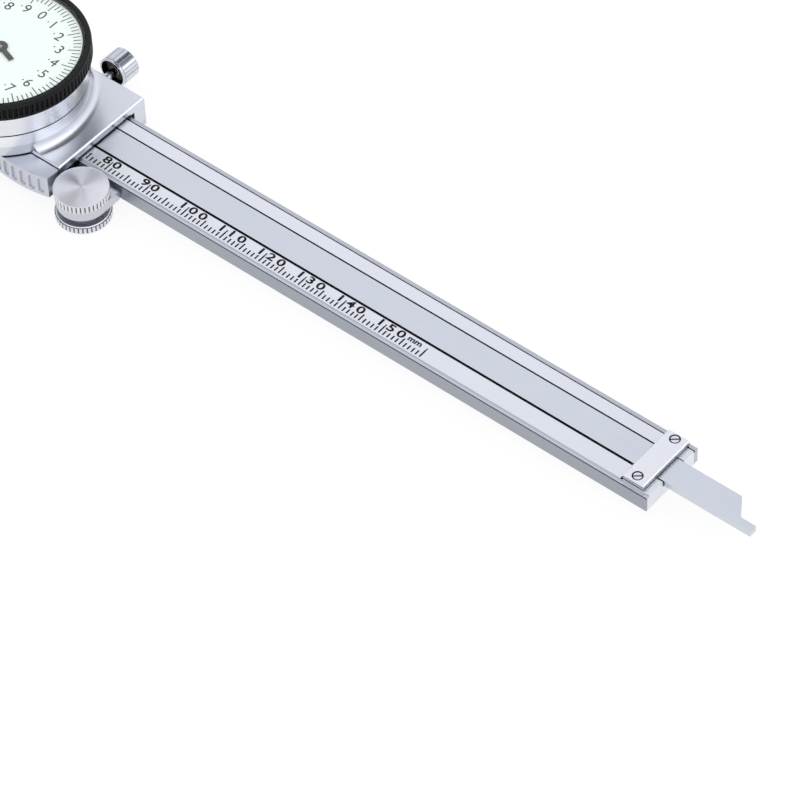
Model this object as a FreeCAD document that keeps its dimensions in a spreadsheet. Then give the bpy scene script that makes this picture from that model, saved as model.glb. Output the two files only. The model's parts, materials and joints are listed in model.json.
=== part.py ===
import FreeCAD, Part
import math
import os
import re

import Sketcher
from FreeCAD import Rotation, Vector

# Inside groove dial caliper, 150 mm travel, lying on its back with the dial up.
# Sizes are given from the beam's near top edge: x is the reading printed on the beam,
# y runs across the beam and z is height above its printed face.
# Each piece is then placed so that the origin is on the back of the beam, on its
# centre line, in the plane where the two jaws meet.

doc = FreeCAD.newDocument("GrooveCaliper")
sheet = doc.addObject("Spreadsheet::Sheet", "Sizes")

sizes = [
    ("beam_width", 15.6, "beam across"),
    ("beam_thick", 3.8, "beam through"),
    ("beam_end", 214.7, "right end of the beam"),
    ("head_left", -16, "left end of the beam"),
    ("ledge_drop", 0.3, "step from the printed face down to the edge ledges"),
    ("near_ledge", 0.87, "near ledge across"),
    ("far_ledge", 1.28, "far ledge across"),
    ("groove_left", 6, "left end of the rod groove"),
    ("groove_near", 4.92, "near wall of the rod groove"),
    ("groove_wide", 6.47, "rod groove across"),
    ("groove_deep", 1.5, "rod groove depth"),
    ("rack_left", 25, "left end of the rack"),
    ("rack_long", 157, "rack length"),
    ("rack_deep", 1.05, "rack channel depth under the rod groove"),
    ("rack_back", 0.95, "rack behind its tooth roots"),
    ("rack_pitch", 1, "rack tooth pitch"),
    ("tooth_high", 0.26, "rack tooth above its pitch line"),
    ("tooth_deep", 0.32, "rack tooth below its pitch line"),
    ("channel_gap", 0.25, "pinion tips to the channel wall"),
    ("closed_reading", 10, "reading with the jaws together"),
    ("opening", 19.6, "gap between the jaws as built"),
    ("jaw_reach", 40, "jaws below the beam"),
    ("jaw_leg", 3, "jaw leg across"),
    ("hook_tall", 1.3, "measuring hook at the jaw's end"),
    ("hook_slope", 1.2, "slope from the hook back to the leg"),
    ("root_low", 13, "where the leg leaves its root"),
    ("root_high", 6, "where the root's slope begins"),
    ("root_wide", 10, "root of the sliding jaw"),
    ("slide_gap", 0.12, "beam to what slides on it"),
    ("slider_right", 74.1, "right end of the slider"),
    ("case_near", -5.27, "near edge of the dial case"),
    ("case_far", 19.7, "far edge of the dial case"),
    ("case_low", 0.1, "underside of the dial case's plate"),
    ("plate_top", 2, "top of the dial case's plate"),
    ("edge_break", 0.3, "bevel along the case's top edges"),
    ("far_wall", 3.1, "wall of the case beyond the beam"),
    ("web_thick", 1.3, "web under the beam"),
    ("wall_front", -6.8, "front of the slider's near wall"),
    ("seam", 0.3, "gap between the case and the thumb rest"),
    ("rest_top", 1.7, "top of the thumb rest"),
    ("rest_low", -3.5, "underside of the thumb rest"),
    ("rest_long", 16.4, "thumb rest along the beam"),
    ("rest_front", -8.75, "front corners of the thumb rest"),
    ("rest_crown", 1.1, "crown of the thumb rest's front"),
    ("grip_pitch", 2.2, "grip slots apart"),
    ("grip_wide", 1.25, "grip slot across"),
    ("grip_tall", 3.8, "grip slot height"),
    ("grip_deep", 0.35, "grip slot depth"),
    ("grip_count", 7, "grip slots"),
    ("wheel_x", 80.15, "thumb wheel's axis along the beam"),
    ("wheel_gap", 0.05, "thumb wheel to the beam's side"),
    ("wheel_radius", 5.6, "thumb wheel"),
    ("wheel_top", 0.8, "top of the upper disc"),
    ("wheel_tall", 2.1, "upper disc's height"),
    ("wheel_teeth", 40, "knurl teeth round each disc"),
    ("knurl_deep", 0.2, "knurl depth"),
    ("core_step", 0.03, "knurled parts' plain rims below their notches"),
    ("rim_tall", 0.2, "plain rims above and below the knurls"),
    ("rim_break", 0.15, "bevel on the plain rims"),
    ("lug_gap", 0.15, "disc to the lug"),
    ("lug_thick", 2.2, "lug that carries the thumb wheel"),
    ("lug_radius", 5.1, "round end of that lug"),
    ("lug_side", 0.5, "lug to the beam's side"),
    ("low_disc_gap", 1.35, "lug to the lower disc's face"),
    ("low_disc_tall", 1.8, "lower disc's height"),
    ("low_disc_extra", 0.15, "lower disc beyond the upper one"),
    ("hub_radius", 3.4, "neck above the lower disc"),
    ("axle_radius", 1.2, "thumb wheel's axle"),
    ("run_gap", 0.05, "running clearance of turning parts"),
    ("set_gap", 0.01, "clearance of fixed parts"),
    ("rod_left", 50.6, "inner end of the depth rod"),
    ("rod_near_gap", 0.33, "rod to the groove's near wall"),
    ("rod_far_gap", 0.2, "rod to the groove's far wall"),
    ("rod_thick", 1.35, "depth rod through"),
    ("rod_sink", 0.03, "rod below the printed face"),
    ("tip_wide", 1.8, "rod's narrow tip across"),
    ("tip_long", 3.4, "rod's narrow tip along"),
    ("tip_slant", 2.8, "run of the slanted shoulder"),
    ("pin_radius", 0.75, "rod pins"),
    ("pin_first", 56, "first rod pin"),
    ("pin_step", 10, "rod pins apart"),
    ("stop_inset", 1.5, "end plate to the beam's end"),
    ("stop_long", 4.8, "end plate along the beam"),
    ("stop_near", 1.05, "near end of the end plate"),
    ("stop_wide", 14.05, "end plate across the beam"),
    ("stop_thick", 1.25, "end plate through"),
    ("stop_break", 0.2, "bevel on the end plate"),
    ("stop_screw_gap", 11.3, "end plate's screws apart"),
    ("head_radius", 0.85, "end plate's screw heads"),
    ("head_tall", 0.6, "screw head height"),
    ("seat_gap", 0.12, "end plate's screw heads to their seats"),
    ("slot_wide", 0.3, "driver slots"),
    ("slot_deep", 0.3, "driver slot depth"),
    ("shank_radius", 0.5, "small screw shanks"),
    ("shank_long", 2.2, "small screw shanks below the seat"),
    ("dial_x", 52, "dial axis along the beam"),
    ("dial_y", 3.4, "dial axis across the beam"),
    ("cavity_radius", 15.8, "room for the movement"),
    ("tower_wall", 1.35, "wall round that room"),
    ("cove", 2.3, "cove round the tower's foot"),
    ("cove_sink", 0.04, "cove let into the wall and the plate"),
    ("cove_inset", 0.1, "cove short of the plate's bevels"),
    ("joint_height", 7.2, "where the case ring sits"),
    ("floor_top", 3.2, "floor of the movement's room"),
    ("ring_top", 12.2, "top of the case ring"),
    ("ring_rebate", 0.4, "dark line under the case ring"),
    ("rebate_tall", 0.25, "height of that line"),
    ("ring_step", 0.1, "case ring beyond the tower"),
    ("ring_taper", 0.25, "case ring's taper up to the bezel"),
    ("spigot", 0.6, "case ring's spigot"),
    ("mouth_step", 0.96, "bezel's mouth beyond the movement's room"),
    ("bezel_wall", 1.3, "bezel from its mouth to its flutes' tips"),
    ("bezel_low", 12.3, "underside of the bezel"),
    ("bezel_top", 15.9, "top of the bezel"),
    ("bezel_flutes", 104, "flutes round the bezel"),
    ("flute_deep", 0.32, "flute depth"),
    ("bezel_rim", 0.4, "plain rims above and below the flutes"),
    ("skirt_wide", 0.5, "wall of the bezel's skirt"),
    ("skirt_long", 1.2, "skirt below the bezel"),
    ("face_top", 14.8, "dial face"),
    ("face_thick", 0.4, "dial face through"),
    ("face_ledge", 0.8, "ledge under the dial face"),
    ("spacer_tall", 0.5, "ring between face and crystal"),
    ("spacer_wide", 0.5, "that ring's width"),
    ("crystal_thick", 0.55, "crystal through"),
    ("bed_thick", 1, "movement's lower plate"),
    ("bridge_low", 9.6, "underside of the bridge"),
    ("bridge_thick", 0.8, "bridge through"),
    ("bridge_inset", 3, "bridge inside the room's wall"),
    ("post_radius", 1.2, "bridge posts"),
    ("post_inset", 5.2, "posts' circle inside the room's wall"),
    ("bed_gap", 0.3, "lower plate to the room's wall"),
    ("bed_screw_inset", 2, "lower plate's screws inside the room's wall"),
    ("pinion_y", 8, "rack pinion's axis across the beam"),
    ("pinion_teeth", 10, "rack pinion's teeth"),
    ("pinion_room", 0.6, "rack pinion's tips to the hole in the case"),
    ("pinion_lift", 0.1, "rack pinion above its channel's floor"),
    ("gear_teeth", 50, "transfer and backlash gears' teeth"),
    ("hand_teeth", 10, "pointer pinion's teeth"),
    ("hand_extra", 0.3, "pointer pinion beyond the gears it meets"),
    ("hand_room", 0.3, "pointer's shaft to the hole in the face"),
    ("gear_pitch", 0.62832, "tooth pitch of the gears"),
    ("gear_high", 0.17, "gear tooth above its pitch circle"),
    ("gear_deep", 0.24, "gear tooth below its pitch circle"),
    ("gear_thick", 0.6, "gears through"),
    ("transfer_low", 5.2, "underside of the transfer gear"),
    ("backlash_low", 6.5, "underside of the backlash gear"),
    ("shaft_radius", 0.6, "gear shafts"),
    ("pivot_radius", 0.4, "pointer shaft"),
    ("pivot_deep", 0.7, "shaft's end in the lower plate"),
    ("spring_low", 8, "underside of the hairspring"),
    ("spring_tall", 0.5, "hairspring strip"),
    ("spring_start", 1.1, "hairspring's inner radius"),
    ("spring_turns", 4, "hairspring's turns"),
    ("spring_step", 0.75, "hairspring's turns apart"),
    ("spring_thick", 0.12, "hairspring's strip"),
    ("stud_radius", 0.5, "hairspring's stud"),
    ("hand_low", 14.95, "underside of the pointer"),
    ("hand_thick", 0.15, "pointer through"),
    ("hand_short", 2.06, "pointer's tip inside the bezel's mouth"),
    ("hand_tail", 4.5, "pointer's tail"),
    ("hand_wide", 1.1, "pointer at its hub"),
    ("hand_hub", 1.5, "pointer's hub"),
    ("gib_thick", 0.82, "gib strip through"),
    ("gib_inset", 2.6, "gib short of the case's ends"),
    ("gib_tall", 3.2, "gib strip's height"),
    ("set_screw_radius", 0.9, "screws in the far wall"),
    ("lock_x", 61.5, "lock screw's axis"),
    ("lock_z", -2, "height of the far wall's screws"),
    ("knob_near", 23.8, "near face of the lock screw's knob"),
    ("knob_long", 4.6, "knob's length"),
    ("knob_radius", 3.35, "knob"),
    ("knob_recess", 0.8, "recess in the knob's face"),
    ("knob_wall", 0.45, "rim round that recess"),
    ("knob_flutes", 26, "flutes round the knob"),
    ("knob_flange", 0.35, "plain ring at the knob's face"),
    ("knob_line", 0.2, "line behind that ring"),
    ("knob_groove", 0.18, "flute depth on the knob"),
    ("knob_bevel", 0.3, "bevel at the knob's back"),
    ("gib_screw_left", 42, "left gib screw"),
    ("gib_screw_right", 70.3, "right gib screw"),
    ("case_screw_radius", 0.8, "screws that hold the case"),
    ("case_head_radius", 1.5, "their heads"),
    ("case_head_tall", 0.7, "head height"),
    ("case_screw_left", 36, "left pair of case screws"),
    ("case_screw_right", 66, "right pair of case screws"),
    ("near_screw_y", -2.7, "near case screws"),
    ("near_screw_top", 1.5, "tip of the near case screws"),
    ("far_screw_top", -0.6, "tip of the far case screws"),
    ("rack_screw_inset", 8, "rack screws from the rack's ends"),
    ("rack_screw_radius", 0.35, "rack screws"),
]

# Sizes worked out from those above.
derived = [
    ("groove_far", "groove_near + groove_wide"),
    ("tower_radius", "cavity_radius + tower_wall"),
    ("ring_radius", "tower_radius + ring_step"),
    ("bezel_bore", "cavity_radius + mouth_step"),
    ("bezel_radius", "bezel_bore + bezel_wall"),
    ("bezel_core", "bezel_radius - flute_deep - core_step"),
    ("skirt_radius", "bezel_bore - face_ledge + skirt_wide"),
    ("hand_long", "bezel_bore - hand_short"),
    ("post_circle", "cavity_radius - post_inset"),
    ("bed_screw_circle", "cavity_radius - bed_screw_inset"),
    ("jaw_half", "closed_reading / 2"),
    ("reading_edge", "opening + closed_reading"),
    ("wheel_y", "-wheel_gap - wheel_radius"),
    ("wheel_low", "wheel_top - wheel_tall"),
    ("lug_top", "wheel_low - lug_gap"),
    ("lug_low", "lug_top - lug_thick"),
    ("disc_top", "lug_low - low_disc_gap"),
    ("disc_low", "disc_top - low_disc_tall"),
    ("disc_radius", "wheel_radius + low_disc_extra"),
    ("wheel_core", "wheel_radius - knurl_deep - core_step"),
    ("disc_core", "disc_radius - knurl_deep - core_step"),
    ("web_top", "-beam_thick - slide_gap"),
    ("web_low", "web_top - web_thick"),
    ("wall_inner", "case_far - far_wall"),
    ("rod_near", "groove_near + rod_near_gap"),
    ("rod_far", "groove_far - rod_far_gap"),
    ("rod_tip", "beam_end + opening"),
    ("rod_mid", "(rod_near + rod_far) / 2"),
    ("stop_right", "beam_end - stop_inset"),
    ("stop_left", "stop_right - stop_long"),
    ("stop_middle", "stop_left + stop_long / 2"),
    ("seat_top", "stop_thick - head_tall - stop_break / 4"),
    ("pinion_radius", "pinion_teeth * rack_pitch / (2 * pi)"),
    ("gear_radius", "gear_teeth * gear_pitch / (2 * pi)"),
    ("hand_pinion_radius", "hand_teeth * gear_pitch / (2 * pi)"),
    ("centre_distance", "gear_radius + hand_pinion_radius"),
    ("pinion_x", "dial_x - sqrt(centre_distance ^ 2 - (pinion_y - dial_y) ^ 2)"),
    ("backlash_x", "dial_x + centre_distance"),
    ("pitch_line", "pinion_y + pinion_radius"),
    ("rack_far", "pitch_line + tooth_deep + rack_back"),
    ("channel_near", "pinion_y - pinion_radius - tooth_high - channel_gap"),
    ("channel_floor", "-groove_deep - rack_deep"),
    ("bed_top", "floor_top + bed_thick"),
    ("bridge_top", "bridge_low + bridge_thick"),
    ("face_low", "face_top - face_thick"),
    ("spacer_top", "face_top + spacer_tall"),
    ("rest_middle", "slider_right - rest_long / 2"),
    ("crown_radius", "((rest_long / 2) ^ 2 + rest_crown ^ 2) / (2 * rest_crown)"),
    ("knob_far", "knob_near + knob_long"),
    ("gib_far", "beam_width + slide_gap + gib_thick"),
]

names = set()


def cell(text):
    """Write a formula over the sheet's names in the document's own form."""
    return re.sub(r"[a-z][a-z_]*[a-z0-9]", lambda m: "Sizes." + m[0] if m[0] in names else m[0], str(text))


def size(text):
    """The value of a formula over the sheet's names."""
    return float(sheet.evalExpression(cell(text)))


row = 1
for alias, value, note in sizes:
    sheet.set("A%d" % row, note)
    sheet.set("B%d" % row, str(value))
    sheet.setAlias("B%d" % row, alias)
    row += 1
    names.add(alias)
for alias, formula in derived:
    sheet.set("A%d" % row, alias.replace("_", " "))
    sheet.set("B%d" % row, "=" + re.sub(r"Sizes\.", "", cell(formula)))
    sheet.setAlias("B%d" % row, alias)
    row += 1
    names.add(alias)
doc.recompute()


def block(name, x, y, z):
    """A box between two corners; each of x, y, z is a pair of formulas."""
    box = doc.addObject("Part::Box", name)
    for side, axis, (low, high) in zip(("Length", "Width", "Height"), "xyz", (x, y, z)):
        box.setExpression(side, cell("(%s) - (%s)" % (high, low)))
        box.setExpression(".Placement.Base." + axis, cell(low))
    return box


def drum(name, x, y, z, radius):
    """An upright cylinder; z is a pair of formulas."""
    item = doc.addObject("Part::Cylinder", name)
    item.setExpression("Radius", cell(radius))
    item.setExpression("Height", cell("(%s) - (%s)" % (z[1], z[0])))
    item.setExpression(".Placement.Base.x", cell(x))
    item.setExpression(".Placement.Base.y", cell(y))
    item.setExpression(".Placement.Base.z", cell(z[0]))
    return item


def pin_across(name, x, y, z, radius):
    """A cylinder along y; y is a pair of formulas."""
    item = doc.addObject("Part::Cylinder", name)
    item.Placement.Rotation = Rotation(Vector(1, 0, 0), -90)
    item.setExpression("Radius", cell(radius))
    item.setExpression("Height", cell("(%s) - (%s)" % (y[1], y[0])))
    item.setExpression(".Placement.Base.x", cell(x))
    item.setExpression(".Placement.Base.y", cell(y[0]))
    item.setExpression(".Placement.Base.z", cell(z))
    return item


def origin_plane(body, role):
    return next(feature for feature in body.Origin.OriginFeatures if feature.Role == role)


def sketch_outline(body, role, points):
    """A closed outline of straight lines whose corners are bound to the sheet."""
    sketch = body.newObject("Sketcher::SketchObject", body.Name + "Outline")
    sketch.AttachmentSupport = [(origin_plane(body, role), "")]
    sketch.MapMode = "FlatFace"
    corners = [Vector(size(u), size(v), 0) for u, v in points]
    count = len(corners)
    for i in range(count):
        sketch.addGeometry(Part.LineSegment(corners[i], corners[(i + 1) % count]), False)
    for i in range(count):
        sketch.addConstraint(Sketcher.Constraint("Coincident", i, 2, (i + 1) % count, 1))
    for i, pair in enumerate(points):
        for kind, formula, value in zip(("DistanceX", "DistanceY"), pair, corners[i]):
            index = sketch.addConstraint(Sketcher.Constraint(kind, -1, 1, i, 1, value))
            sketch.setExpression("Constraints[%d]" % index, cell(formula))
    return sketch


def slab(name, points, z):
    """An outline in plan, padded from z[0] up to z[1]."""
    body = doc.addObject("PartDesign::Body", name)
    sketch = sketch_outline(body, "XY_Plane", points)
    sketch.setExpression(".AttachmentOffset.Base.z", cell(z[0]))
    pad = body.newObject("PartDesign::Pad", name + "Pad")
    pad.Profile = sketch
    pad.setExpression("Length", cell("(%s) - (%s)" % (z[1], z[0])))
    return body


def turned(name, x, y, points):
    """A profile of (radius, height) corners turned about an upright axis."""
    body = doc.addObject("PartDesign::Body", name)
    sketch = sketch_outline(body, "XZ_Plane", points)
    turn = body.newObject("PartDesign::Revolution", name + "Turn")
    turn.Profile = sketch
    turn.ReferenceAxis = (sketch, ["V_Axis"])
    turn.Angle = 360
    body.setExpression(".Placement.Base.x", cell(x))
    body.setExpression(".Placement.Base.y", cell(y))
    return body


def fuse(name, *pieces):
    item = doc.addObject("Part::MultiFuse", name)
    item.Shapes = list(pieces)
    item.Refine = True
    return item


def cut(name, base, *tools):
    item = doc.addObject("Part::Cut", name)
    item.Base = base
    item.Tool = tools[0] if len(tools) == 1 else fuse(name + "Tools", *tools)
    item.Refine = True
    return item


def common(name, *pieces):
    item = doc.addObject("Part::MultiCommon", name)
    item.Shapes = list(pieces)
    return item


def made(name, shape):
    """A piece whose shape is worked out below from the sheet's values."""
    item = doc.addObject("Part::Feature", name)
    item.Shape = Part.Compound([shape])
    return item


def toothed(teeth, tip, root, tip_share, root_share, phase):
    """A toothed outline: a flat on each tip and each root, with a tooth at phase."""
    step = 2 * math.pi / teeth
    corners = []
    for i in range(teeth):
        middle = phase + i * step
        for radius, turn in ((root, -root_share), (tip, -tip_share), (tip, tip_share), (root, root_share)):
            angle = middle + turn * step / 2
            corners.append(Vector(radius * math.cos(angle), radius * math.sin(angle), 0))
    return Part.Face(Part.makePolygon(corners + corners[:1]))


def notched(teeth, tip, depth, flat_share):
    """A knurled outline: V notches between flats."""
    step = 2 * math.pi / teeth
    corners = []
    for i in range(teeth):
        middle = i * step
        for radius, turn in ((tip, -flat_share / 2), (tip, flat_share / 2), (tip - depth, 0.5)):
            angle = middle + turn * step
            corners.append(Vector(radius * math.cos(angle), radius * math.sin(angle), 0))
    return Part.Face(Part.makePolygon(corners + corners[:1]))


def upright(face, x, y, low, high):
    """A flat outline set at a place and given its height."""
    face.translate(Vector(x, y, low))
    return face.extrude(Vector(0, 0, high - low))


nodes = []


def node(item, name):
    """Name a finished piece and place it in the caliper's own frame."""
    item.Label = name
    item.setExpression(".Placement.Base.x", None)
    for axis, shift in (("y", "-beam_width / 2"), ("z", "beam_thick")):
        item.setExpression(".Placement.Base." + axis, cell(shift))
    nodes.append(item)


def wrap(item, name):
    """Give a piece that has a place of its own a holder, so that it can be placed as a node."""
    holder = doc.addObject("Part::Refine", name + "Body")
    holder.Source = item
    node(holder, name)


# Main beam with the fixed jaw, the rod groove and the rack channel.
beam_core = block("BeamCore", ("head_left", "beam_end"), ("0", "beam_width"), ("-beam_thick", "-ledge_drop"))
beam_face = block(
    "BeamFace",
    ("head_left", "beam_end"),
    ("near_ledge", "beam_width - far_ledge"),
    ("-beam_thick", "0"),
)
fixed_jaw = slab(
    "FixedJaw",
    [
        ("0", "near_ledge"),
        ("0", "-jaw_reach"),
        ("-jaw_half", "-jaw_reach"),
        ("-jaw_half", "-jaw_reach + hook_tall"),
        ("-jaw_leg", "-jaw_reach + hook_tall + hook_slope"),
        ("-jaw_leg", "-root_low"),
        ("head_left", "-root_high"),
        ("head_left", "near_ledge"),
    ],
    ("-beam_thick", "0"),
)
beam_block = fuse("BeamBlock", beam_core, beam_face, fixed_jaw)
rod_groove = block(
    "RodGroove",
    ("groove_left", "beam_end + 1"),
    ("groove_near", "groove_far"),
    ("-groove_deep", "1"),
)
rack_channel = block(
    "RackChannel",
    ("rack_left - set_gap", "rack_left + rack_long + set_gap"),
    ("channel_near", "rack_far + set_gap"),
    ("channel_floor", "0"),
)
stop_screw_y = [
    "stop_near + (stop_wide - stop_screw_gap) / 2",
    "stop_near + (stop_wide + stop_screw_gap) / 2",
]
beam_holes = [
    drum("BeamHole%d" % i, "stop_middle", y, ("-shank_long - set_gap", "1"), "shank_radius + set_gap")
    for i, y in enumerate(stop_screw_y)
]
rack_screw_x = ["rack_left + rack_screw_inset", "rack_left + rack_long - rack_screw_inset"]
rack_screw_y = "rack_far - rack_back / 2"
beam_holes += [
    drum("RackHole%d" % i, x, rack_screw_y, ("-beam_thick - 1", "0"), "rack_screw_radius + set_gap")
    for i, x in enumerate(rack_screw_x)
]
node(cut("Beam", beam_block, rod_groove, rack_channel, *beam_holes), "main_beam")


# Rack: a strip with its teeth towards the pinion and a tooth gap in front of it.
def rack_outline():
    pitch = size("rack_pitch")
    tip = size("pitch_line - tooth_high")
    root = size("pitch_line + tooth_deep")
    left = size("rack_left")
    right = left + size("rack_long")
    first = size("pinion_x") + (math.ceil((left - size("pinion_x")) / pitch) + 1) * pitch
    corners = [Vector(right, size("rack_far"), 0), Vector(left, size("rack_far"), 0), Vector(left, root, 0)]
    gap = first
    while gap + pitch < right - pitch / 2:
        corners.append(Vector(gap + 0.2 * pitch, root, 0))
        corners.append(Vector(gap + 0.39 * pitch, tip, 0))
        corners.append(Vector(gap + 0.61 * pitch, tip, 0))
        corners.append(Vector(gap + 0.8 * pitch, root, 0))
        gap += pitch
    corners.append(Vector(right, root, 0))
    return Part.Face(Part.makePolygon(corners + corners[:1]))


rack_strip = made("RackStrip", upright(rack_outline(), 0, 0, size("channel_floor"), size("-groove_deep")))
rack_middle = "channel_floor + rack_deep / 2"
rack_taps = [
    drum("RackTap%d" % i, x, rack_screw_y, ("channel_floor - 1", rack_middle), "rack_screw_radius + set_gap")
    for i, x in enumerate(rack_screw_x)
]
node(cut("RackCut", rack_strip, *rack_taps), "rack")
for i, x in enumerate(rack_screw_x):
    screw = drum("RackScrew%d" % i, x, rack_screw_y, ("-beam_thick", rack_middle), "rack_screw_radius")
    wrap(screw, "rack_screw_%d" % (i + 1))

# End plate: holds the rod down in its groove, with two slotted screws.
end_body = slab(
    "EndPlate",
    [
        ("stop_left", "stop_near"),
        ("stop_right", "stop_near"),
        ("stop_right", "stop_near + stop_wide"),
        ("stop_left", "stop_near + stop_wide"),
    ],
    ("0", "stop_thick"),
)
doc.recompute()
top_face = next(
    "Face%d" % (i + 1) for i, face in enumerate(end_body.Shape.Faces)
    if face.CenterOfMass.z > size("stop_thick") - 1e-6
)
bevel = end_body.newObject("PartDesign::Chamfer", "EndPlateBevel")
bevel.Base = (end_body.Group[-2] if end_body.Group[-1] == bevel else end_body.Group[-1], [top_face])
bevel.setExpression("Size", cell("stop_break"))
seats = []
for i, y in enumerate(stop_screw_y):
    seats.append(
        drum("StopSeat%d" % i, "stop_middle", y, ("seat_top", "stop_thick + 1"), "head_radius + seat_gap")
    )
    seats.append(drum("StopBore%d" % i, "stop_middle", y, ("-1", "stop_thick"), "shank_radius + set_gap"))
node(cut("EndPlateCut", end_body, *seats), "end_plate")


def slotted_screw(name, x, y, seat, head, head_tall, shank, shank_low, turn):
    """A screw with its head up on a seat; turn is the way its driver slot points."""
    cap = drum(name + "Head", x, y, (seat, "(%s) + (%s)" % (seat, head_tall)), head)
    stem = drum(name + "Stem", x, y, (shank_low, "(%s) + 0.1" % seat), shank)
    slot = doc.addObject("Part::Box", name + "Slot")
    reach = "(%s) + 1" % head
    slot.Placement.Rotation = Rotation(Vector(0, 0, 1), turn)
    slot.setExpression("Length", cell("2 * (%s)" % reach))
    slot.setExpression("Width", cell("slot_wide"))
    slot.setExpression("Height", cell("slot_deep + 1"))
    lean = math.radians(turn)
    along, across = round(math.cos(lean), 6), round(math.sin(lean), 6)
    slot_x = "%s - (%s) * %s + slot_wide / 2 * %s" % (x, reach, along, across)
    slot_y = "%s - (%s) * %s - slot_wide / 2 * %s" % (y, reach, across, along)
    slot.setExpression(".Placement.Base.x", cell(slot_x))
    slot.setExpression(".Placement.Base.y", cell(slot_y))
    slot.setExpression(".Placement.Base.z", cell("(%s) + (%s) - slot_deep" % (seat, head_tall)))
    return cut(name, fuse(name + "Whole", cap, stem), slot)


for i, (y, label) in enumerate(zip(stop_screw_y, ("near", "far"))):
    screw = slotted_screw(
        "StopScrew%d" % i, "stop_middle", y, "seat_top", "head_radius", "head_tall",
        "shank_radius", "-shank_long", 40,
    )
    node(screw, "end_screw_" + label)

# Slider frame: near wall, web under the beam, sliding jaw, thumb rest and wheel lug.
near_wall = block(
    "NearWall", ("opening", "slider_right"), ("wall_front", "-slide_gap"), ("web_top", "case_low")
)
web = block("Web", ("opening", "slider_right"), ("case_near", "case_far"), ("web_low", "web_top"))
slide_jaw = slab(
    "SlideJaw",
    [
        ("opening", "-slide_gap"),
        ("opening", "-jaw_reach"),
        ("opening + jaw_half", "-jaw_reach"),
        ("opening + jaw_half", "-jaw_reach + hook_tall"),
        ("opening + jaw_leg", "-jaw_reach + hook_tall + hook_slope"),
        ("opening + jaw_leg", "-root_low"),
        ("opening + root_wide", "wall_front"),
        ("opening + root_wide", "-slide_gap"),
    ],
    ("-beam_thick", "0"),
)
rest_block = block(
    "RestBlock",
    ("slider_right - rest_long", "slider_right"),
    ("rest_front - rest_crown", "case_near - seam"),
    ("rest_low", "rest_top"),
)
rest_round = drum(
    "RestRound", "rest_middle", "rest_front - rest_crown + crown_radius", ("rest_low", "rest_top"),
    "crown_radius"
)
thumb_rest = common("ThumbRest", rest_block, rest_round)
lug_plate = block(
    "LugPlate", ("slider_right", "wheel_x + lug_radius"), ("wheel_y", "-lug_side"), ("lug_low", "lug_top")
)
lug_round = drum("LugRound", "wheel_x", "wheel_y", ("lug_low", "lug_top"), "lug_radius")
frame_block = fuse("FrameBlock", near_wall, web, slide_jaw, thumb_rest, lug_plate, lug_round)


def grip_slots():
    """Upright slots with round ends, square to the thumb rest's crowned front."""
    radius = size("crown_radius")
    middle = Vector(size("rest_middle"), size("rest_front - rest_crown") + radius, 0)
    half = size("grip_wide") / 2
    low = size("(rest_low + rest_top - grip_tall) / 2") + half
    high = size("(rest_low + rest_top + grip_tall) / 2") - half
    count = round(size("grip_count"))
    slots = []
    for i in range(count):
        angle = (i - (count - 1) / 2) * size("grip_pitch") / radius
        outwards = Vector(math.sin(angle), -math.cos(angle), 0)
        start = middle + outwards * (radius - size("grip_deep"))
        cuts = [
            Part.makeCylinder(half, 2, start + Vector(0, 0, height), outwards)
            for height in (low, high)
        ]
        across = Vector(math.cos(angle), math.sin(angle), 0)
        corners = [
            start + across * side * half + Vector(0, 0, height)
            for side, height in ((-1, low), (1, low), (1, high), (-1, high))
        ]
        bar = Part.Face(Part.makePolygon(corners + corners[:1])).extrude(outwards * 2)
        slots.append(bar.fuse(cuts))
    return Part.makeCompound(slots)


case_screws = [
    (x, y, top)
    for x in ("case_screw_left", "case_screw_right")
    for y, top in (("near_screw_y", "near_screw_top"), ("case_far - far_wall / 2", "far_screw_top"))
]
frame_cuts = [made("GripSlots", grip_slots())]
frame_cuts.append(
    drum("AxleBore", "wheel_x", "wheel_y", ("lug_low - 1", "lug_top + 1"), "axle_radius + run_gap")
)
for i, (x, y, top) in enumerate(case_screws):
    frame_cuts.append(
        drum("FrameHole%d" % i, x, y, ("web_low - 1", "case_low + 1"), "case_screw_radius + run_gap")
    )
    frame_cuts.append(
        drum(
            "FrameSeat%d" % i, x, y, ("web_low - 1", "web_low + case_head_tall"), "case_head_radius + run_gap"
        )
    )
node(cut("Frame", frame_block, *frame_cuts), "slider_frame")

for i, (x, y, top) in enumerate(case_screws):
    head = drum("CaseHead%d" % i, x, y, ("web_low", "web_low + case_head_tall"), "case_head_radius")
    stem = drum("CaseStem%d" % i, x, y, ("web_low", top), "case_screw_radius")
    notch = block(
        "CaseSlot%d" % i,
        ("%s - case_head_radius - 1" % x, "%s + case_head_radius + 1" % x),
        ("%s - slot_wide / 2" % y, "%s + slot_wide / 2" % y),
        ("web_low - 1", "web_low + slot_deep"),
    )
    node(cut("CaseScrew%d" % i, fuse("CaseScrewWhole%d" % i, head, stem), notch), "case_screw_%d" % (i + 1))

# Thumb wheel: an upper disc with its axle, and a lower disc fixed on the axle's end.
def knurl_band(name, teeth, tip, depth, flat_share, x, y, z):
    """A ring of knurling between two heights, solid inside."""
    outline = notched(round(size(teeth)), size(tip), size(depth), flat_share)
    return made(name, upright(outline, size(x), size(y), size(z[0]), size(z[1])))


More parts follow.
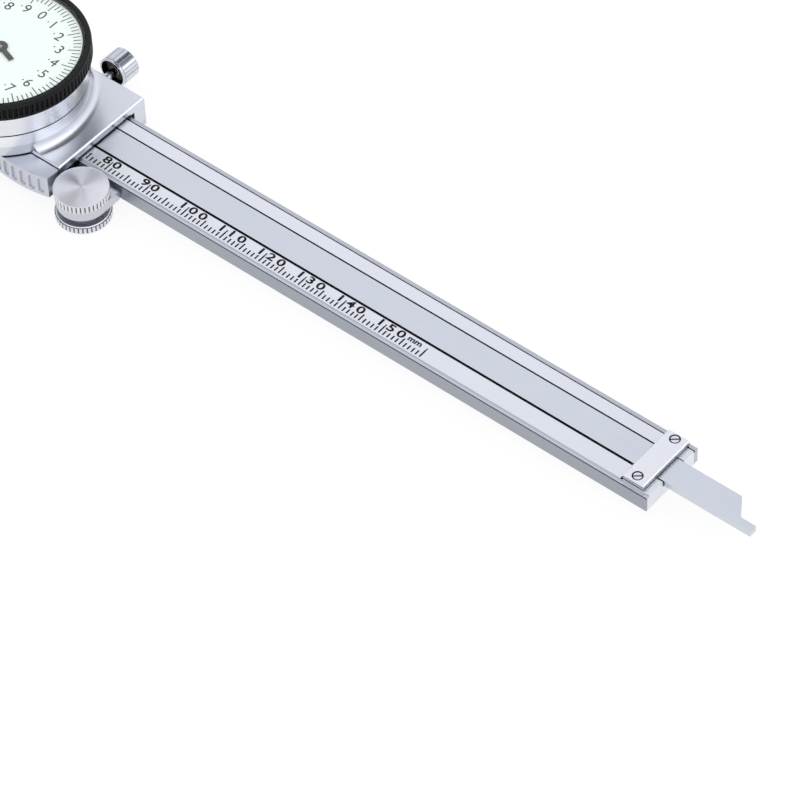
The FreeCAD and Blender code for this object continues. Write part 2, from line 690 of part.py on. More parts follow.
wheel_turned = turned(
    "WheelTurned",
    "wheel_x",
    "wheel_y",
    [
        ("0", "wheel_top"),
        ("wheel_core - rim_break", "wheel_top"),
        ("wheel_core", "wheel_top - rim_break"),
        ("wheel_core", "wheel_low"),
        ("axle_radius", "wheel_low"),
        ("axle_radius", "disc_low + rim_break"),
        ("0", "disc_low + rim_break"),
    ],
)
wheel_knurl = knurl_band(
    "WheelKnurl", "wheel_teeth", "wheel_radius", "knurl_deep", 0.45,
    "wheel_x", "wheel_y", ("wheel_low + rim_tall", "wheel_top - rim_tall"),
)
node(fuse("UpperWheel", wheel_turned, wheel_knurl), "thumb_wheel_upper")
disc_turned = turned(
    "DiscTurned",
    "wheel_x",
    "wheel_y",
    [
        ("axle_radius + set_gap", "lug_low - lug_gap"),
        ("hub_radius", "lug_low - lug_gap"),
        ("hub_radius", "disc_top"),
        ("disc_core - rim_break", "disc_top"),
        ("disc_core", "disc_top - rim_break"),
        ("disc_core", "disc_low + rim_break"),
        ("disc_core - rim_break", "disc_low"),
        ("axle_radius + set_gap", "disc_low"),
    ],
)
disc_knurl = knurl_band(
    "DiscKnurl", "wheel_teeth", "disc_radius", "knurl_deep", 0.45,
    "wheel_x", "wheel_y", ("disc_low + rim_tall", "disc_top - rim_tall"),
)
disc_bore = drum("DiscBore", "wheel_x", "wheel_y", ("disc_low - 1", "lug_low"), "axle_radius + set_gap")
node(cut("LowerWheel", fuse("LowerWhole", disc_turned, disc_knurl), disc_bore), "thumb_wheel_lower")

# Dial case: plate over the beam, wall beyond it and the tower that carries the dial.
case_plate = slab(
    "CasePlate",
    [
        ("reading_edge", "case_near"),
        ("slider_right", "case_near"),
        ("slider_right", "case_far"),
        ("reading_edge", "case_far"),
    ],
    ("case_low", "plate_top"),
)
doc.recompute()
plate_face = next(
    "Face%d" % (i + 1) for i, face in enumerate(case_plate.Shape.Faces)
    if face.CenterOfMass.z > size("plate_top") - 1e-6
)
case_bevel = case_plate.newObject("PartDesign::Chamfer", "CaseBevel")
case_bevel.Base = (doc.getObject("CasePlatePad"), [plate_face])
case_bevel.setExpression("Size", cell("edge_break"))
case_wall = block(
    "CaseWall", ("reading_edge", "slider_right"), ("wall_inner", "case_far"), ("web_top", "plate_top - 1")
)
tower = turned(
    "Tower",
    "dial_x",
    "dial_y",
    [
        ("0", "plate_top"),
        ("tower_radius", "plate_top"),
        ("tower_radius", "joint_height"),
        ("0", "joint_height"),
    ],
)
cove_ring = drum(
    "CoveRing",
    "dial_x",
    "dial_y",
    ("plate_top - 0.5", "plate_top + cove - cove_sink"),
    "tower_radius + cove - cove_sink",
)
cove_scoop = doc.addObject("Part::Torus", "CoveScoop")
cove_scoop.setExpression("Radius1", cell("tower_radius + cove - cove_sink"))
cove_scoop.setExpression("Radius2", cell("cove"))
cove_scoop.setExpression(".Placement.Base.x", cell("dial_x"))
cove_scoop.setExpression(".Placement.Base.y", cell("dial_y"))
cove_scoop.setExpression(".Placement.Base.z", cell("plate_top + cove - cove_sink"))
cove_zone = block(
    "CoveZone",
    ("reading_edge + edge_break + cove_inset", "slider_right - edge_break - cove_inset"),
    ("case_near + edge_break + cove_inset", "case_far - edge_break - cove_inset"),
    ("plate_top - 1", "plate_top + cove + 1"),
)
cove_part = common("CovePart", cut("CoveCut", cove_ring, cove_scoop), cove_zone)
case_block = fuse("CaseBlock", case_plate, case_wall, tower, cove_part)
case_cuts = [
    drum("Cavity", "dial_x", "dial_y", ("floor_top", "joint_height + 1"), "cavity_radius"),
    drum(
        "PinionHole", "pinion_x", "pinion_y", ("case_low - 1", "floor_top + 1"),
        "pinion_radius + tooth_high + pinion_room",
    ),
]
for i, (x, y, top) in enumerate(case_screws):
    case_cuts.append(
        drum("CaseTap%d" % i, x, y, ("web_top - 1", "(%s) + set_gap" % top), "case_screw_radius + set_gap")
    )
pin_places = ["pin_first", "pin_first + pin_step"]
for i, x in enumerate(pin_places):
    case_cuts.append(
        drum("PinSeat%d" % i, x, "rod_mid", ("case_low - 1", "floor_top + 1"), "pin_radius + set_gap")
    )
wall_screws = [("lock_x", "run_gap"), ("gib_screw_left", "set_gap"), ("gib_screw_right", "set_gap")]
for i, (x, gap) in enumerate(wall_screws):
    case_cuts.append(
        pin_across(
            "WallTap%d" % i, x, ("wall_inner - 1", "case_far + 1"), "lock_z", "set_screw_radius + " + gap
        )
    )


def spread(circle, count, start):
    """Places round the dial axis as pairs of formulas, counted from an angle."""
    places = []
    for i in range(count):
        angle = math.radians(start + 360 * i / count)
        places.append(
            (
                "dial_x + %s * %.6f" % (circle, math.cos(angle)),
                "dial_y + %s * %.6f" % (circle, math.sin(angle)),
            )
        )
    return places


bed_screws = spread("bed_screw_circle", 3, 30)
for i, (x, y) in enumerate(bed_screws):
    case_cuts.append(
        drum("BedTap%d" % i, x, y, ("floor_top - shank_long / 2", "floor_top + 1"), "shank_radius + set_gap")
    )
node(cut("Case", case_block, *case_cuts), "dial_case")

ring_body = turned(
    "CaseRing",
    "dial_x",
    "dial_y",
    [
        ("cavity_radius - set_gap", "joint_height - spigot"),
        ("cavity_radius - set_gap", "joint_height"),
        ("tower_radius - ring_rebate", "joint_height"),
        ("tower_radius - ring_rebate", "joint_height + rebate_tall"),
        ("ring_radius", "joint_height + rebate_tall"),
        ("ring_radius - ring_taper", "ring_top"),
        ("skirt_radius + run_gap", "ring_top"),
        ("skirt_radius + run_gap", "bezel_low - skirt_long - run_gap"),
        ("cavity_radius - spigot", "bezel_low - skirt_long - run_gap"),
        ("cavity_radius - spigot", "joint_height - spigot"),
    ],
)
wrap(ring_body, "case_ring")

# Gib strip between the beam and the far wall, with its two screws and the lock screw.
gib = block(
    "Gib",
    ("reading_edge + gib_inset", "slider_right - gib_inset"),
    ("beam_width + slide_gap", "gib_far"),
    ("lock_z - gib_tall / 2", "lock_z + gib_tall / 2"),
)
wrap(gib, "gib")
for i, x in enumerate(("gib_screw_left", "gib_screw_right")):
    stem = pin_across("GibStem%d" % i, x, ("gib_far", "case_far"), "lock_z", "set_screw_radius")
    notch = block(
        "GibSlot%d" % i,
        ("%s - slot_wide / 2" % x, "%s + slot_wide / 2" % x),
        ("case_far - slot_deep", "case_far + 1"),
        ("lock_z - 2", "lock_z + 2"),
    )
    node(cut("GibScrew%d" % i, stem, notch), "gib_screw_%d" % (i + 1))


def knob_profile():
    """Lock screw: stem, dished face, plain ring, line and barrel, along y."""
    near = size("knob_near")
    far = size("knob_far")
    radius = size("knob_radius")
    stem = size("set_screw_radius")
    ring = near + size("knob_flange")
    barrel = ring + size("knob_line")
    bevel_size = size("knob_bevel")
    steps = [
        (0, size("gib_far")),
        (stem, size("gib_far")),
        (stem, near + size("knob_recess")),
        (radius - size("knob_wall"), near + size("knob_recess")),
        (radius - size("knob_wall"), near),
        (radius, near),
        (radius, ring),
        (radius - size("knob_line"), ring),
        (radius - size("knob_line"), barrel),
        (radius, barrel),
        (radius, far - bevel_size),
        (radius - bevel_size, far),
        (0, far),
    ]
    corners = [Vector(r, y, 0) for r, y in steps]
    face = Part.Face(Part.makePolygon(corners + corners[:1]))
    return face.revolve(Vector(0, 0, 0), Vector(0, 1, 0), 360), barrel, far


knob_shape, barrel_near, barrel_far = knob_profile()
knob_cutter = notched(round(size("knob_flutes")), size("knob_radius"), size("knob_groove"), 0.72).extrude(
    Vector(0, 0, barrel_far - barrel_near)
)
knob_cutter.rotate(Vector(0, 0, 0), Vector(1, 0, 0), -90)
knob_cutter.translate(Vector(0, barrel_near, 0))
barrel_zone = Part.makeCylinder(
    2 * size("knob_radius"), barrel_far - barrel_near, Vector(0, barrel_near, 0), Vector(0, 1, 0)
)
knob_shape = knob_shape.cut(barrel_zone.cut(knob_cutter))
knob_shape.translate(Vector(size("lock_x"), 0, size("lock_z")))
node(made("LockScrew", knob_shape), "lock_screw")

# Depth rod, pinned to the case and sliding in the beam's groove.
rod_body = slab(
    "RodBody",
    [
        ("rod_left", "rod_near"),
        ("rod_tip", "rod_near"),
        ("rod_tip", "rod_near + tip_wide"),
        ("rod_tip - tip_long", "rod_near + tip_wide"),
        ("rod_tip - tip_long - tip_slant", "rod_far"),
        ("rod_left", "rod_far"),
    ],
    ("-rod_thick - rod_sink", "-rod_sink"),
)
rod_holes = [
    drum("RodHole%d" % i, x, "rod_mid", ("-groove_deep - 1", "1"), "pin_radius + set_gap")
    for i, x in enumerate(pin_places)
]
node(cut("Rod", rod_body, *rod_holes), "depth_rod")
for i, x in enumerate(pin_places):
    pin = drum("RodPin%d" % i, x, "rod_mid", ("-rod_thick - rod_sink", "floor_top"), "pin_radius")
    wrap(pin, "rod_pin_%d" % (i + 1))

# Movement: lower plate, bridge on three posts, and the screws of both.
bed = drum("Bed", "dial_x", "dial_y", ("floor_top", "bed_top"), "cavity_radius - bed_gap")
bed_cuts = [
    drum("BedBearing", "pinion_x", "pinion_y", ("0", "bed_top + 1"), "shaft_radius + run_gap"),
    drum(
        "BedPivot", "dial_x", "dial_y", ("bed_top - pivot_deep - run_gap", "bed_top + 1"), "pivot_radius + run_gap"
    ),
    drum(
        "BedAxle", "backlash_x", "dial_y", ("bed_top - pivot_deep", "bed_top + 1"), "shaft_radius + run_gap"
    ),
]
posts = spread("post_circle", 3, 60)
for i, (x, y) in enumerate(bed_screws):
    bed_cuts.append(drum("BedHole%d" % i, x, y, ("floor_top - 1", "bed_top + 1"), "shank_radius + set_gap"))
node(cut("BedPlate", bed, *bed_cuts), "movement_plate")
for i, (x, y) in enumerate(bed_screws):
    screw = slotted_screw(
        "BedScrew%d" % i, x, y, "bed_top", "head_radius", "head_tall",
        "shank_radius", "floor_top - shank_long / 2 + set_gap", 20 + 50 * i,
    )
    node(screw, "plate_screw_%d" % (i + 1))

bridge_disc = drum(
    "BridgeDisc", "dial_x", "dial_y", ("bridge_low", "bridge_top"), "cavity_radius - bridge_inset"
)
bridge_posts = [
    drum("Post%d" % i, x, y, ("bed_top", "bridge_top"), "post_radius")
    for i, (x, y) in enumerate(posts)
]
bridge_cuts = [
    drum(
        "BridgeBearing", "pinion_x", "pinion_y", ("bridge_low - 1", "bridge_top + 1"), "shaft_radius + run_gap"
    ),
    drum("BridgePivot", "dial_x", "dial_y", ("bridge_low - 1", "bridge_top + 1"), "pivot_radius + run_gap"),
    drum(
        "BridgeAxle", "backlash_x", "dial_y", ("bridge_low - 1", "bridge_top + 1"), "shaft_radius + run_gap"
    ),
]
for i, (x, y) in enumerate(posts):
    bridge_cuts.append(
        drum("BridgeTap%d" % i, x, y, ("bridge_top - shank_long", "bridge_top + 1"), "shank_radius + set_gap")
    )
node(cut("Bridge", fuse("BridgeWhole", bridge_disc, *bridge_posts), *bridge_cuts), "movement_bridge")
for i, (x, y) in enumerate(posts):
    screw = slotted_screw(
        "BridgeScrew%d" % i, x, y, "bridge_top", "head_radius", "head_tall",
        "shank_radius", "bridge_top - shank_long + set_gap", 65 + 40 * i,
    )
    node(screw, "bridge_screw_%d" % (i + 1))


def gear(name, teeth, radius, high, deep, x, y, low, high_z, phase, tip_share=0.34, root_share=0.62):
    outline = toothed(teeth, radius + high, radius - deep, tip_share, root_share, phase)
    return made(name, upright(outline, x, y, low, high_z))


dial_at = (size("dial_x"), size("dial_y"))
pinion_at = (size("pinion_x"), size("pinion_y"))
backlash_at = (size("backlash_x"), size("dial_y"))
gear_teeth = round(size("gear_teeth"))
hand_teeth = round(size("hand_teeth"))
to_hand = math.atan2(dial_at[1] - pinion_at[1], dial_at[0] - pinion_at[0])

# The rack pinion has a tooth facing the rack, where the rack has a gap.
pinion_crown = gear(
    "PinionCrown", round(size("pinion_teeth")), size("pinion_radius"), size("tooth_high"), size("tooth_deep"),
    *pinion_at, size("channel_floor + pinion_lift"), size("-groove_deep"), math.pi / 2, 0.24, 0.56,
)
pinion_shaft = drum(
    "PinionShaft", "pinion_x", "pinion_y", ("channel_floor + pinion_lift", "bridge_top"), "shaft_radius"
)
node(fuse("RackPinion", pinion_crown, pinion_shaft), "rack_pinion")

# The transfer gear has a tooth on the line to the dial axis.
transfer_crown = gear(
    "TransferCrown", gear_teeth, size("gear_radius"), size("gear_high"), size("gear_deep"),
    *pinion_at, size("transfer_low"), size("transfer_low + gear_thick"), to_hand,
)
transfer_hub = drum(
    "TransferHub", "pinion_x", "pinion_y", ("transfer_low", "transfer_low + 2 * gear_thick"),
    "3 * shaft_radius"
)
transfer_bore = drum("TransferBore", "pinion_x", "pinion_y", ("0", "bridge_top"), "shaft_radius + set_gap")
node(cut("Transfer", fuse("TransferWhole", transfer_crown, transfer_hub), transfer_bore), "transfer_gear")

# The pointer pinion has a gap on that line, and on the line to the backlash gear.
hand_phase = to_hand + math.pi + math.pi / hand_teeth
hand_crown = gear(
    "HandCrown", hand_teeth, size("hand_pinion_radius"), size("gear_high"), size("gear_deep"),
    *dial_at, size("transfer_low - hand_extra"), size("backlash_low + gear_thick + hand_extra"), hand_phase,
)
hand_shaft = drum(
    "HandShaft", "dial_x", "dial_y", ("bed_top - pivot_deep", "hand_low + hand_thick"), "pivot_radius"
)
node(fuse("HandPinion", hand_crown, hand_shaft), "pointer_pinion")

# The backlash gear's teeth are turned until one of them meets a gap of the pinion.
tooth_step = 2 * math.pi / hand_teeth
gap_turn = (-(hand_phase + tooth_step / 2)) % tooth_step
gap_turn = gap_turn if gap_turn < tooth_step / 2 else gap_turn - tooth_step
backlash_phase = math.pi + gap_turn * hand_teeth / gear_teeth
backlash_crown = gear(
    "BacklashCrown", gear_teeth, size("gear_radius"), size("gear_high"), size("gear_deep"),
    *backlash_at, size("backlash_low"), size("backlash_low + gear_thick"), backlash_phase,
)
backlash_bore = drum("BacklashBore", "backlash_x", "dial_y", ("0", "bridge_top"), "shaft_radius + set_gap")
node(cut("BacklashGear", backlash_crown, backlash_bore), "backlash_gear")
wrap(
    drum(
        "BacklashShaft", "backlash_x", "dial_y", ("bed_top - pivot_deep + set_gap", "bridge_top"), "shaft_radius"
    ),
    "backlash_shaft",
)


def hairspring():
    """A flat spiral strip round the backlash shaft, with a stud up to the bridge."""
    turns = size("spring_turns")
    step = size("spring_step")
    half = size("spring_thick") / 2
    per_turn = 18
    count = int(turns * per_turn) + 1
    outer, inner = [], []
    for i in range(count):
        angle = 2 * math.pi * i / per_turn
        radius = size("spring_start") + step * i / per_turn
        for side, points in ((half, outer), (-half, inner)):
            points.append(Vector((radius + side) * math.cos(angle), (radius + side) * math.sin(angle), 0))
    corners = outer + inner[::-1]
    strip = upright(
        Part.Face(Part.makePolygon(corners + corners[:1])),
        *backlash_at, size("spring_low"), size("spring_low + spring_tall"),
    )
    end = size("spring_start") + step * turns
    stud = Part.makeCylinder(
        size("stud_radius"),
        size("bridge_low - spring_low"),
        Vector(backlash_at[0] + end * math.cos(angle), backlash_at[1] + end * math.sin(angle), size("spring_low")),
    )
    return strip.fuse(stud)


node(made("Hairspring", hairspring()), "hairspring")

# Bezel with its skirt, flutes and ledge, then what it holds: face, ring and crystal.
bezel_turned = turned(
    "BezelTurned",
    "dial_x",
    "dial_y",
    [
        ("bezel_bore", "bezel_top"),
        ("bezel_core - rim_break", "bezel_top"),
        ("bezel_core", "bezel_top - rim_break"),
        ("bezel_core", "bezel_low"),
        ("skirt_radius", "bezel_low"),
        ("skirt_radius", "bezel_low - skirt_long"),
        ("bezel_bore - face_ledge", "bezel_low - skirt_long"),
        ("bezel_bore - face_ledge", "face_low"),
        ("bezel_bore", "face_low"),
    ],
)
bezel_band = knurl_band(
    "BezelBand", "bezel_flutes", "bezel_radius", "flute_deep", 0.5,
    "dial_x", "dial_y", ("bezel_low + bezel_rim", "bezel_top - bezel_rim"),
)
bezel_inside = drum(
    "BezelInside", "dial_x", "dial_y", ("bezel_low", "bezel_top"), "(bezel_bore + bezel_core) / 2"
)
node(fuse("Bezel", bezel_turned, cut("BezelRing", bezel_band, bezel_inside)), "bezel")
face_disc = drum("FaceDisc", "dial_x", "dial_y", ("face_low", "face_top"), "bezel_bore - set_gap")
face_hole = drum("FaceHole", "dial_x", "dial_y", ("face_low - 1", "face_top + 1"), "pivot_radius + hand_room")
node(cut("Face", face_disc, face_hole), "dial_face")
spacer = turned(
    "Spacer",
    "dial_x",
    "dial_y",
    [
        ("bezel_bore - spacer_wide", "face_top"),
        ("bezel_bore - set_gap", "face_top"),
        ("bezel_bore - set_gap", "spacer_top"),
        ("bezel_bore - spacer_wide", "spacer_top"),
    ],
)
wrap(spacer, "dial_spacer")
wrap(
    drum("Crystal", "dial_x", "dial_y", ("spacer_top", "spacer_top + crystal_thick"), "bezel_bore - set_gap"),
    "crystal",
)

# Pointer: a tapered hand on a hub, aimed at the reading that the jaws are set to.
def pointer_shape():
    turn = size("reading_edge / (pinion_teeth * rack_pitch * hand_teeth / gear_teeth)")
    half = size("hand_wide") / 2
    corners = [
        Vector(-half, 0, 0),
        Vector(-half / 5, size("hand_long"), 0),
        Vector(half / 5, size("hand_long"), 0),
        Vector(half, 0, 0),
        Vector(half, -size("hand_tail"), 0),
        Vector(-half, -size("hand_tail"), 0),
    ]
    blade = Part.Face(Part.makePolygon(corners + corners[:1])).extrude(Vector(0, 0, size("hand_thick")))
    hub = Part.makeCylinder(size("hand_hub"), size("hand_thick"))
    hand = blade.fuse(hub).cut(Part.makeCylinder(size("pivot_radius + set_gap"), 1))
    hand.rotate(Vector(0, 0, 0), Vector(0, 0, 1), -360 * turn)
    hand.translate(Vector(*dial_at, size("hand_low")))
    return hand


node(made("Pointer", pointer_shape()), "pointer")

doc.recompute()
faults = []
for item in doc.Objects:
    if "Invalid" in item.State or "Error" in item.State:
        faults.append("%s %s" % (item.Name, item.State))
for item in nodes:
    if item.Shape.isNull() or not item.Shape.isValid():
        faults.append("%s has no valid shape" % item.Label)
if faults:
    raise RuntimeError("; ".join(faults))

os.makedirs("parts", exist_ok=True)
for item in nodes:
    item.Shape.exportStep("parts/%s.step" % item.Label)
    print("%-20s solids %d volume %.2f" % (item.Label, len(item.Shape.Solids), item.Shape.Volume))
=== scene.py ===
import json
import math

import bpy
from mathutils import Matrix, Vector


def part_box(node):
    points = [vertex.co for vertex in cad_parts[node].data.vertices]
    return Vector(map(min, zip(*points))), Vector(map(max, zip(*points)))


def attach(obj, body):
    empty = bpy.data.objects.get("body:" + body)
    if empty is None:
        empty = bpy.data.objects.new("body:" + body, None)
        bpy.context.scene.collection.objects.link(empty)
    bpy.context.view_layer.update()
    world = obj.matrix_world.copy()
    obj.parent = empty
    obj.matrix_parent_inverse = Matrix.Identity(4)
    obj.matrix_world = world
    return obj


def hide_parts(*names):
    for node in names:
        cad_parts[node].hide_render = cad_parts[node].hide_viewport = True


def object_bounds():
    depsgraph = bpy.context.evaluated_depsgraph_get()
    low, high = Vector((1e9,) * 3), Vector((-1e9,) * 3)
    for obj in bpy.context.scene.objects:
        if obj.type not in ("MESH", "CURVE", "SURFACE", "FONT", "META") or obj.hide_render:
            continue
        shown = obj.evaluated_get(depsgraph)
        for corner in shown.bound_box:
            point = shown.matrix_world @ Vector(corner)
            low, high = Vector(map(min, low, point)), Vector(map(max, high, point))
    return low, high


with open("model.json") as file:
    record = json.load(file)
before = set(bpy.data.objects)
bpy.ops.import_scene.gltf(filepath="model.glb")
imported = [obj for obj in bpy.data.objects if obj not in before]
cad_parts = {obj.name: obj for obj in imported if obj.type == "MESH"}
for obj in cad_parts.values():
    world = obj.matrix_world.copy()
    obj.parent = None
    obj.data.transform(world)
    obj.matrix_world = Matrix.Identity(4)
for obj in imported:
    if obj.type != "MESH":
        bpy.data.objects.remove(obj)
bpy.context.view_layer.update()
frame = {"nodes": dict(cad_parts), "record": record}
nodes = frame["nodes"]
mm = 0.001
print("frame loaded:", len(nodes), "nodes")

beamWidth = 15.6  # mm, centred on y = 0
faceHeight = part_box("main_beam")[1].z  # the beam's printed face


def middleOf(nodeName):
    low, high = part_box(nodeName)
    return (low + high) / 2


wheelCentre = middleOf("thumb_wheel_upper")
dialCentre = middleOf("crystal")
knobCentre = middleOf("lock_screw")


# A range across the beam, given in mm from its near edge.
def acrossBeam(low, high):
    return (low - beamWidth / 2) * mm, (high - beamWidth / 2) * mm


# A range of heights, given in mm down from the printed face; what stands above it is negative.
def belowFace(low, high):
    return faceHeight - high * mm, faceHeight - low * mm


# Settings that several nodes share.
subtract = {"operation": "SUBTRACT"}
multiply = {"operation": "MULTIPLY"}
largerOf = {"operation": "MAXIMUM"}
dotProduct = {"operation": "DOT_PRODUCT"}
colourMix = {"data_type": "RGBA"}  # its colours are inputs 6 and 7 and output 2
smoothStep = {"interpolation_type": "SMOOTHSTEP"}

# What the finishes share: sizes in mm, and how far roughness drifts either side of its middle.
finishScale = {
    "lineLength": 60,  # a hair line
    "cloudSize": 9,  # patches a little more or less glossy
    "reliefDepth": 0.01,
    "edgeSamples": 4,
    "metalDrift": 0.04,
    "grainDrift": 0.05,
}


# From sRGB hex to the linear colour that a socket takes.
def linearColour(hexCode):
    channels = [int(hexCode[i:i + 2], 16) / 255 for i in (1, 3, 5)]
    linear = [c / 12.92 if c <= 0.04045 else ((c + 0.055) / 1.055) ** 2.4 for c in channels]
    return (*linear, 1)


def addNode(tree, kind, settings=None, links=None):
    node = tree.nodes.new(kind)
    for key, value in (settings or {}).items():
        setattr(node, key, value)
    for key, value in (links or {}).items():
        if isinstance(value, bpy.types.NodeSocket):
            tree.links.new(value, node.inputs[key])
        else:
            node.inputs[key].default_value = value
    return node


def newMaterial(name):
    material = bpy.data.materials.new(name)
    material.use_nodes = True
    tree = material.node_tree
    tree.nodes.clear()
    output = addNode(tree, "ShaderNodeOutputMaterial")
    return material, tree, output


# The way out to a point from an axis through the centre, and how far out it lies.
def fromAxis(tree, place, centre, axis):
    keep = [0 if name == axis else 1 for name in "xyz"]
    offset = addNode(tree, "ShaderNodeVectorMath", subtract, {0: place, 1: centre})
    flat = addNode(tree, "ShaderNodeVectorMath", multiply, {0: offset.outputs[0], 1: keep})
    length = addNode(tree, "ShaderNodeVectorMath", {"operation": "LENGTH"}, {0: flat.outputs[0]})
    return flat.outputs[0], length.outputs["Value"]


# A zone is a part of a node that has a tone of its own: ranges along x, y and z, and a range of
# radius about an axis. Its share is 1 inside and 0 outside.
def zoneShare(tree, place, zone):
    split = addNode(tree, "ShaderNodeSeparateXYZ", {}, {0: place})
    tests = [(split.outputs[axis.upper()], zone[axis]) for axis in "xyz" if axis in zone]
    if "about" in zone:
        centre, axis = zone["about"]
        tests.append((fromAxis(tree, place, centre, axis)[1], zone["radius"]))
    insides = []
    for value, (low, high) in tests:
        limits = {0: value, 1: (low + high) / 2, 2: (high - low) / 2}
        insides.append(addNode(tree, "ShaderNodeMath", {"operation": "COMPARE"}, limits).outputs[0])
    share = insides[0]
    for inside in insides[1:]:
        share = addNode(tree, "ShaderNodeMath", multiply, {0: share, 1: inside}).outputs[0]
    return share


# The look's two tones mixed by its lines or grain, with the tones of its zones over them.
def lookColour(tree, place, look, grain):
    tones = {0: grain, 6: linearColour(look["shade"]), 7: linearColour(look["pale"])}
    colour = addNode(tree, "ShaderNodeMix", colourMix, tones).outputs[2]
    for zone in look.get("zones", []):
        tones = {0: zoneShare(tree, place, zone), 6: colour, 7: linearColour(zone["tone"])}
        colour = addNode(tree, "ShaderNodeMix", colourMix, tones).outputs[2]
    return colour


# The relief of the lines or grain, on edges that look softened where the look asks for it.
def lookNormal(tree, look, grain):
    relief = {"Strength": look["relief"], "Distance": finishScale["reliefDepth"] * mm, "Height": grain}
    if "softEdge" in look:
        samples = {"samples": finishScale["edgeSamples"]}
        softEdge = addNode(tree, "ShaderNodeBevel", samples, {"Radius": look["softEdge"] * mm})
        relief["Normal"] = softEdge.outputs[0]
    return addNode(tree, "ShaderNodeBump", {}, relief).outputs[0]


# Hair lines along x, and a gloss that drifts a little from place to place.
def brushedMetal(name, look):
    material, tree, output = newMaterial(name)
    place = addNode(tree, "ShaderNodeTexCoord").outputs["Object"]
    fine = 1 / (look["lineWidth"] * mm)
    stretch = (1 / (finishScale["lineLength"] * mm), fine, fine)
    mapping = addNode(tree, "ShaderNodeMapping", {}, {0: place, "Scale": stretch})
    pattern = {0: mapping.outputs[0], "Scale": 1, "Detail": 2, "Roughness": 0.6}
    lines = addNode(tree, "ShaderNodeTexNoise", {}, pattern).outputs[0]
    pattern = {0: place, "Scale": 1 / (finishScale["cloudSize"] * mm), "Detail": 3}
    cloud = addNode(tree, "ShaderNodeTexNoise", {}, pattern).outputs[0]
    middle, drift = look["roughness"], finishScale["metalDrift"]
    ends = {"Value": cloud, "To Min": middle - drift, "To Max": middle + drift}
    rough = addNode(tree, "ShaderNodeMapRange", {}, ends).outputs[0]
    surface = {
        "Base Color": lookColour(tree, place, look, lines),
        "Metallic": 1.0,
        "Roughness": rough,
        "Normal": lookNormal(tree, look, lines),
    }
    shader = addNode(tree, "ShaderNodeBsdfPrincipled", {}, surface)
    tree.links.new(shader.outputs[0], output.inputs[0])
    return material


# Turning lines round the centre, with the gloss drawn out along them, so that it opens into fans.
def turnedMetal(name, look):
    material, tree, output = newMaterial(name)
    place = addNode(tree, "ShaderNodeTexCoord").outputs["Object"]
    outward, radius = fromAxis(tree, place, look["centre"], "z")
    height = addNode(tree, "ShaderNodeSeparateXYZ", {}, {0: place}).outputs["Z"]
    across = addNode(tree, "ShaderNodeMath", {"operation": "ADD"}, {0: radius, 1: height}).outputs[0]
    pattern = {"W": across, "Scale": 1 / (look["lineWidth"] * mm), "Detail": 2}
    rings = addNode(tree, "ShaderNodeTexNoise", {"noise_dimensions": "1D"}, pattern).outputs[0]
    cross = {"operation": "CROSS_PRODUCT"}
    around = addNode(tree, "ShaderNodeVectorMath", cross, {0: (0, 0, 1), 1: outward}).outputs[0]
    toWorld = {"vector_type": "VECTOR", "convert_from": "OBJECT", "convert_to": "WORLD"}
    tangent = addNode(tree, "ShaderNodeVectorTransform", toWorld, {0: around}).outputs[0]
    surface = {
        "Base Color": lookColour(tree, place, look, rings),
        "Metallic": 1.0,
        "Roughness": look["roughness"],
        "Anisotropic": look["anisotropy"],
        "Tangent": tangent,
        "Normal": lookNormal(tree, look, rings),
    }
    shader = addNode(tree, "ShaderNodeBsdfPrincipled", {}, surface)
    tree.links.new(shader.outputs[0], output.inputs[0])
    return material


# A fine even grain, for small ground parts, brass, moulded plastic, enamel and ink.
def grainedFinish(name, look):
    material, tree, output = newMaterial(name)
    place = addNode(tree, "ShaderNodeTexCoord").outputs["Object"]
    pattern = {0: place, "Scale": 1 / (look["grain"] * mm), "Detail": 3}
    grain = addNode(tree, "ShaderNodeTexNoise", {}, pattern).outputs[0]
    middle, drift = look["roughness"], finishScale["grainDrift"]
    ends = {"Value": grain, "To Min": middle - drift, "To Max": middle + drift}
    rough = addNode(tree, "ShaderNodeMapRange", {}, ends).outputs[0]
    surface = {
        "Base Color": lookColour(tree, place, look, grain),
        "Metallic": look.get("metallic", 0.0),
        "Specular IOR Level": look.get("specular", 0.5),
        "Roughness": rough,
        "Normal": lookNormal(tree, look, grain),
    }
    shader = addNode(tree, "ShaderNodeBsdfPrincipled", {}, surface)
    tree.links.new(shader.outputs[0], output.inputs[0])
    return material


# Moulded acrylic of the crystal: clear, with a sharp gloss and a faint haze. Shadows and the dial's
# own light pass straight through, so the dial under it stays bright.
crystalLook = {
    "tint": "#FFFFFF",
    "clear": "#FDFEFE",
    "haze": 6,  # mm
    "sharpest": 0.02,
    "dullest": 0.05,
    "ior": 1.49,
}


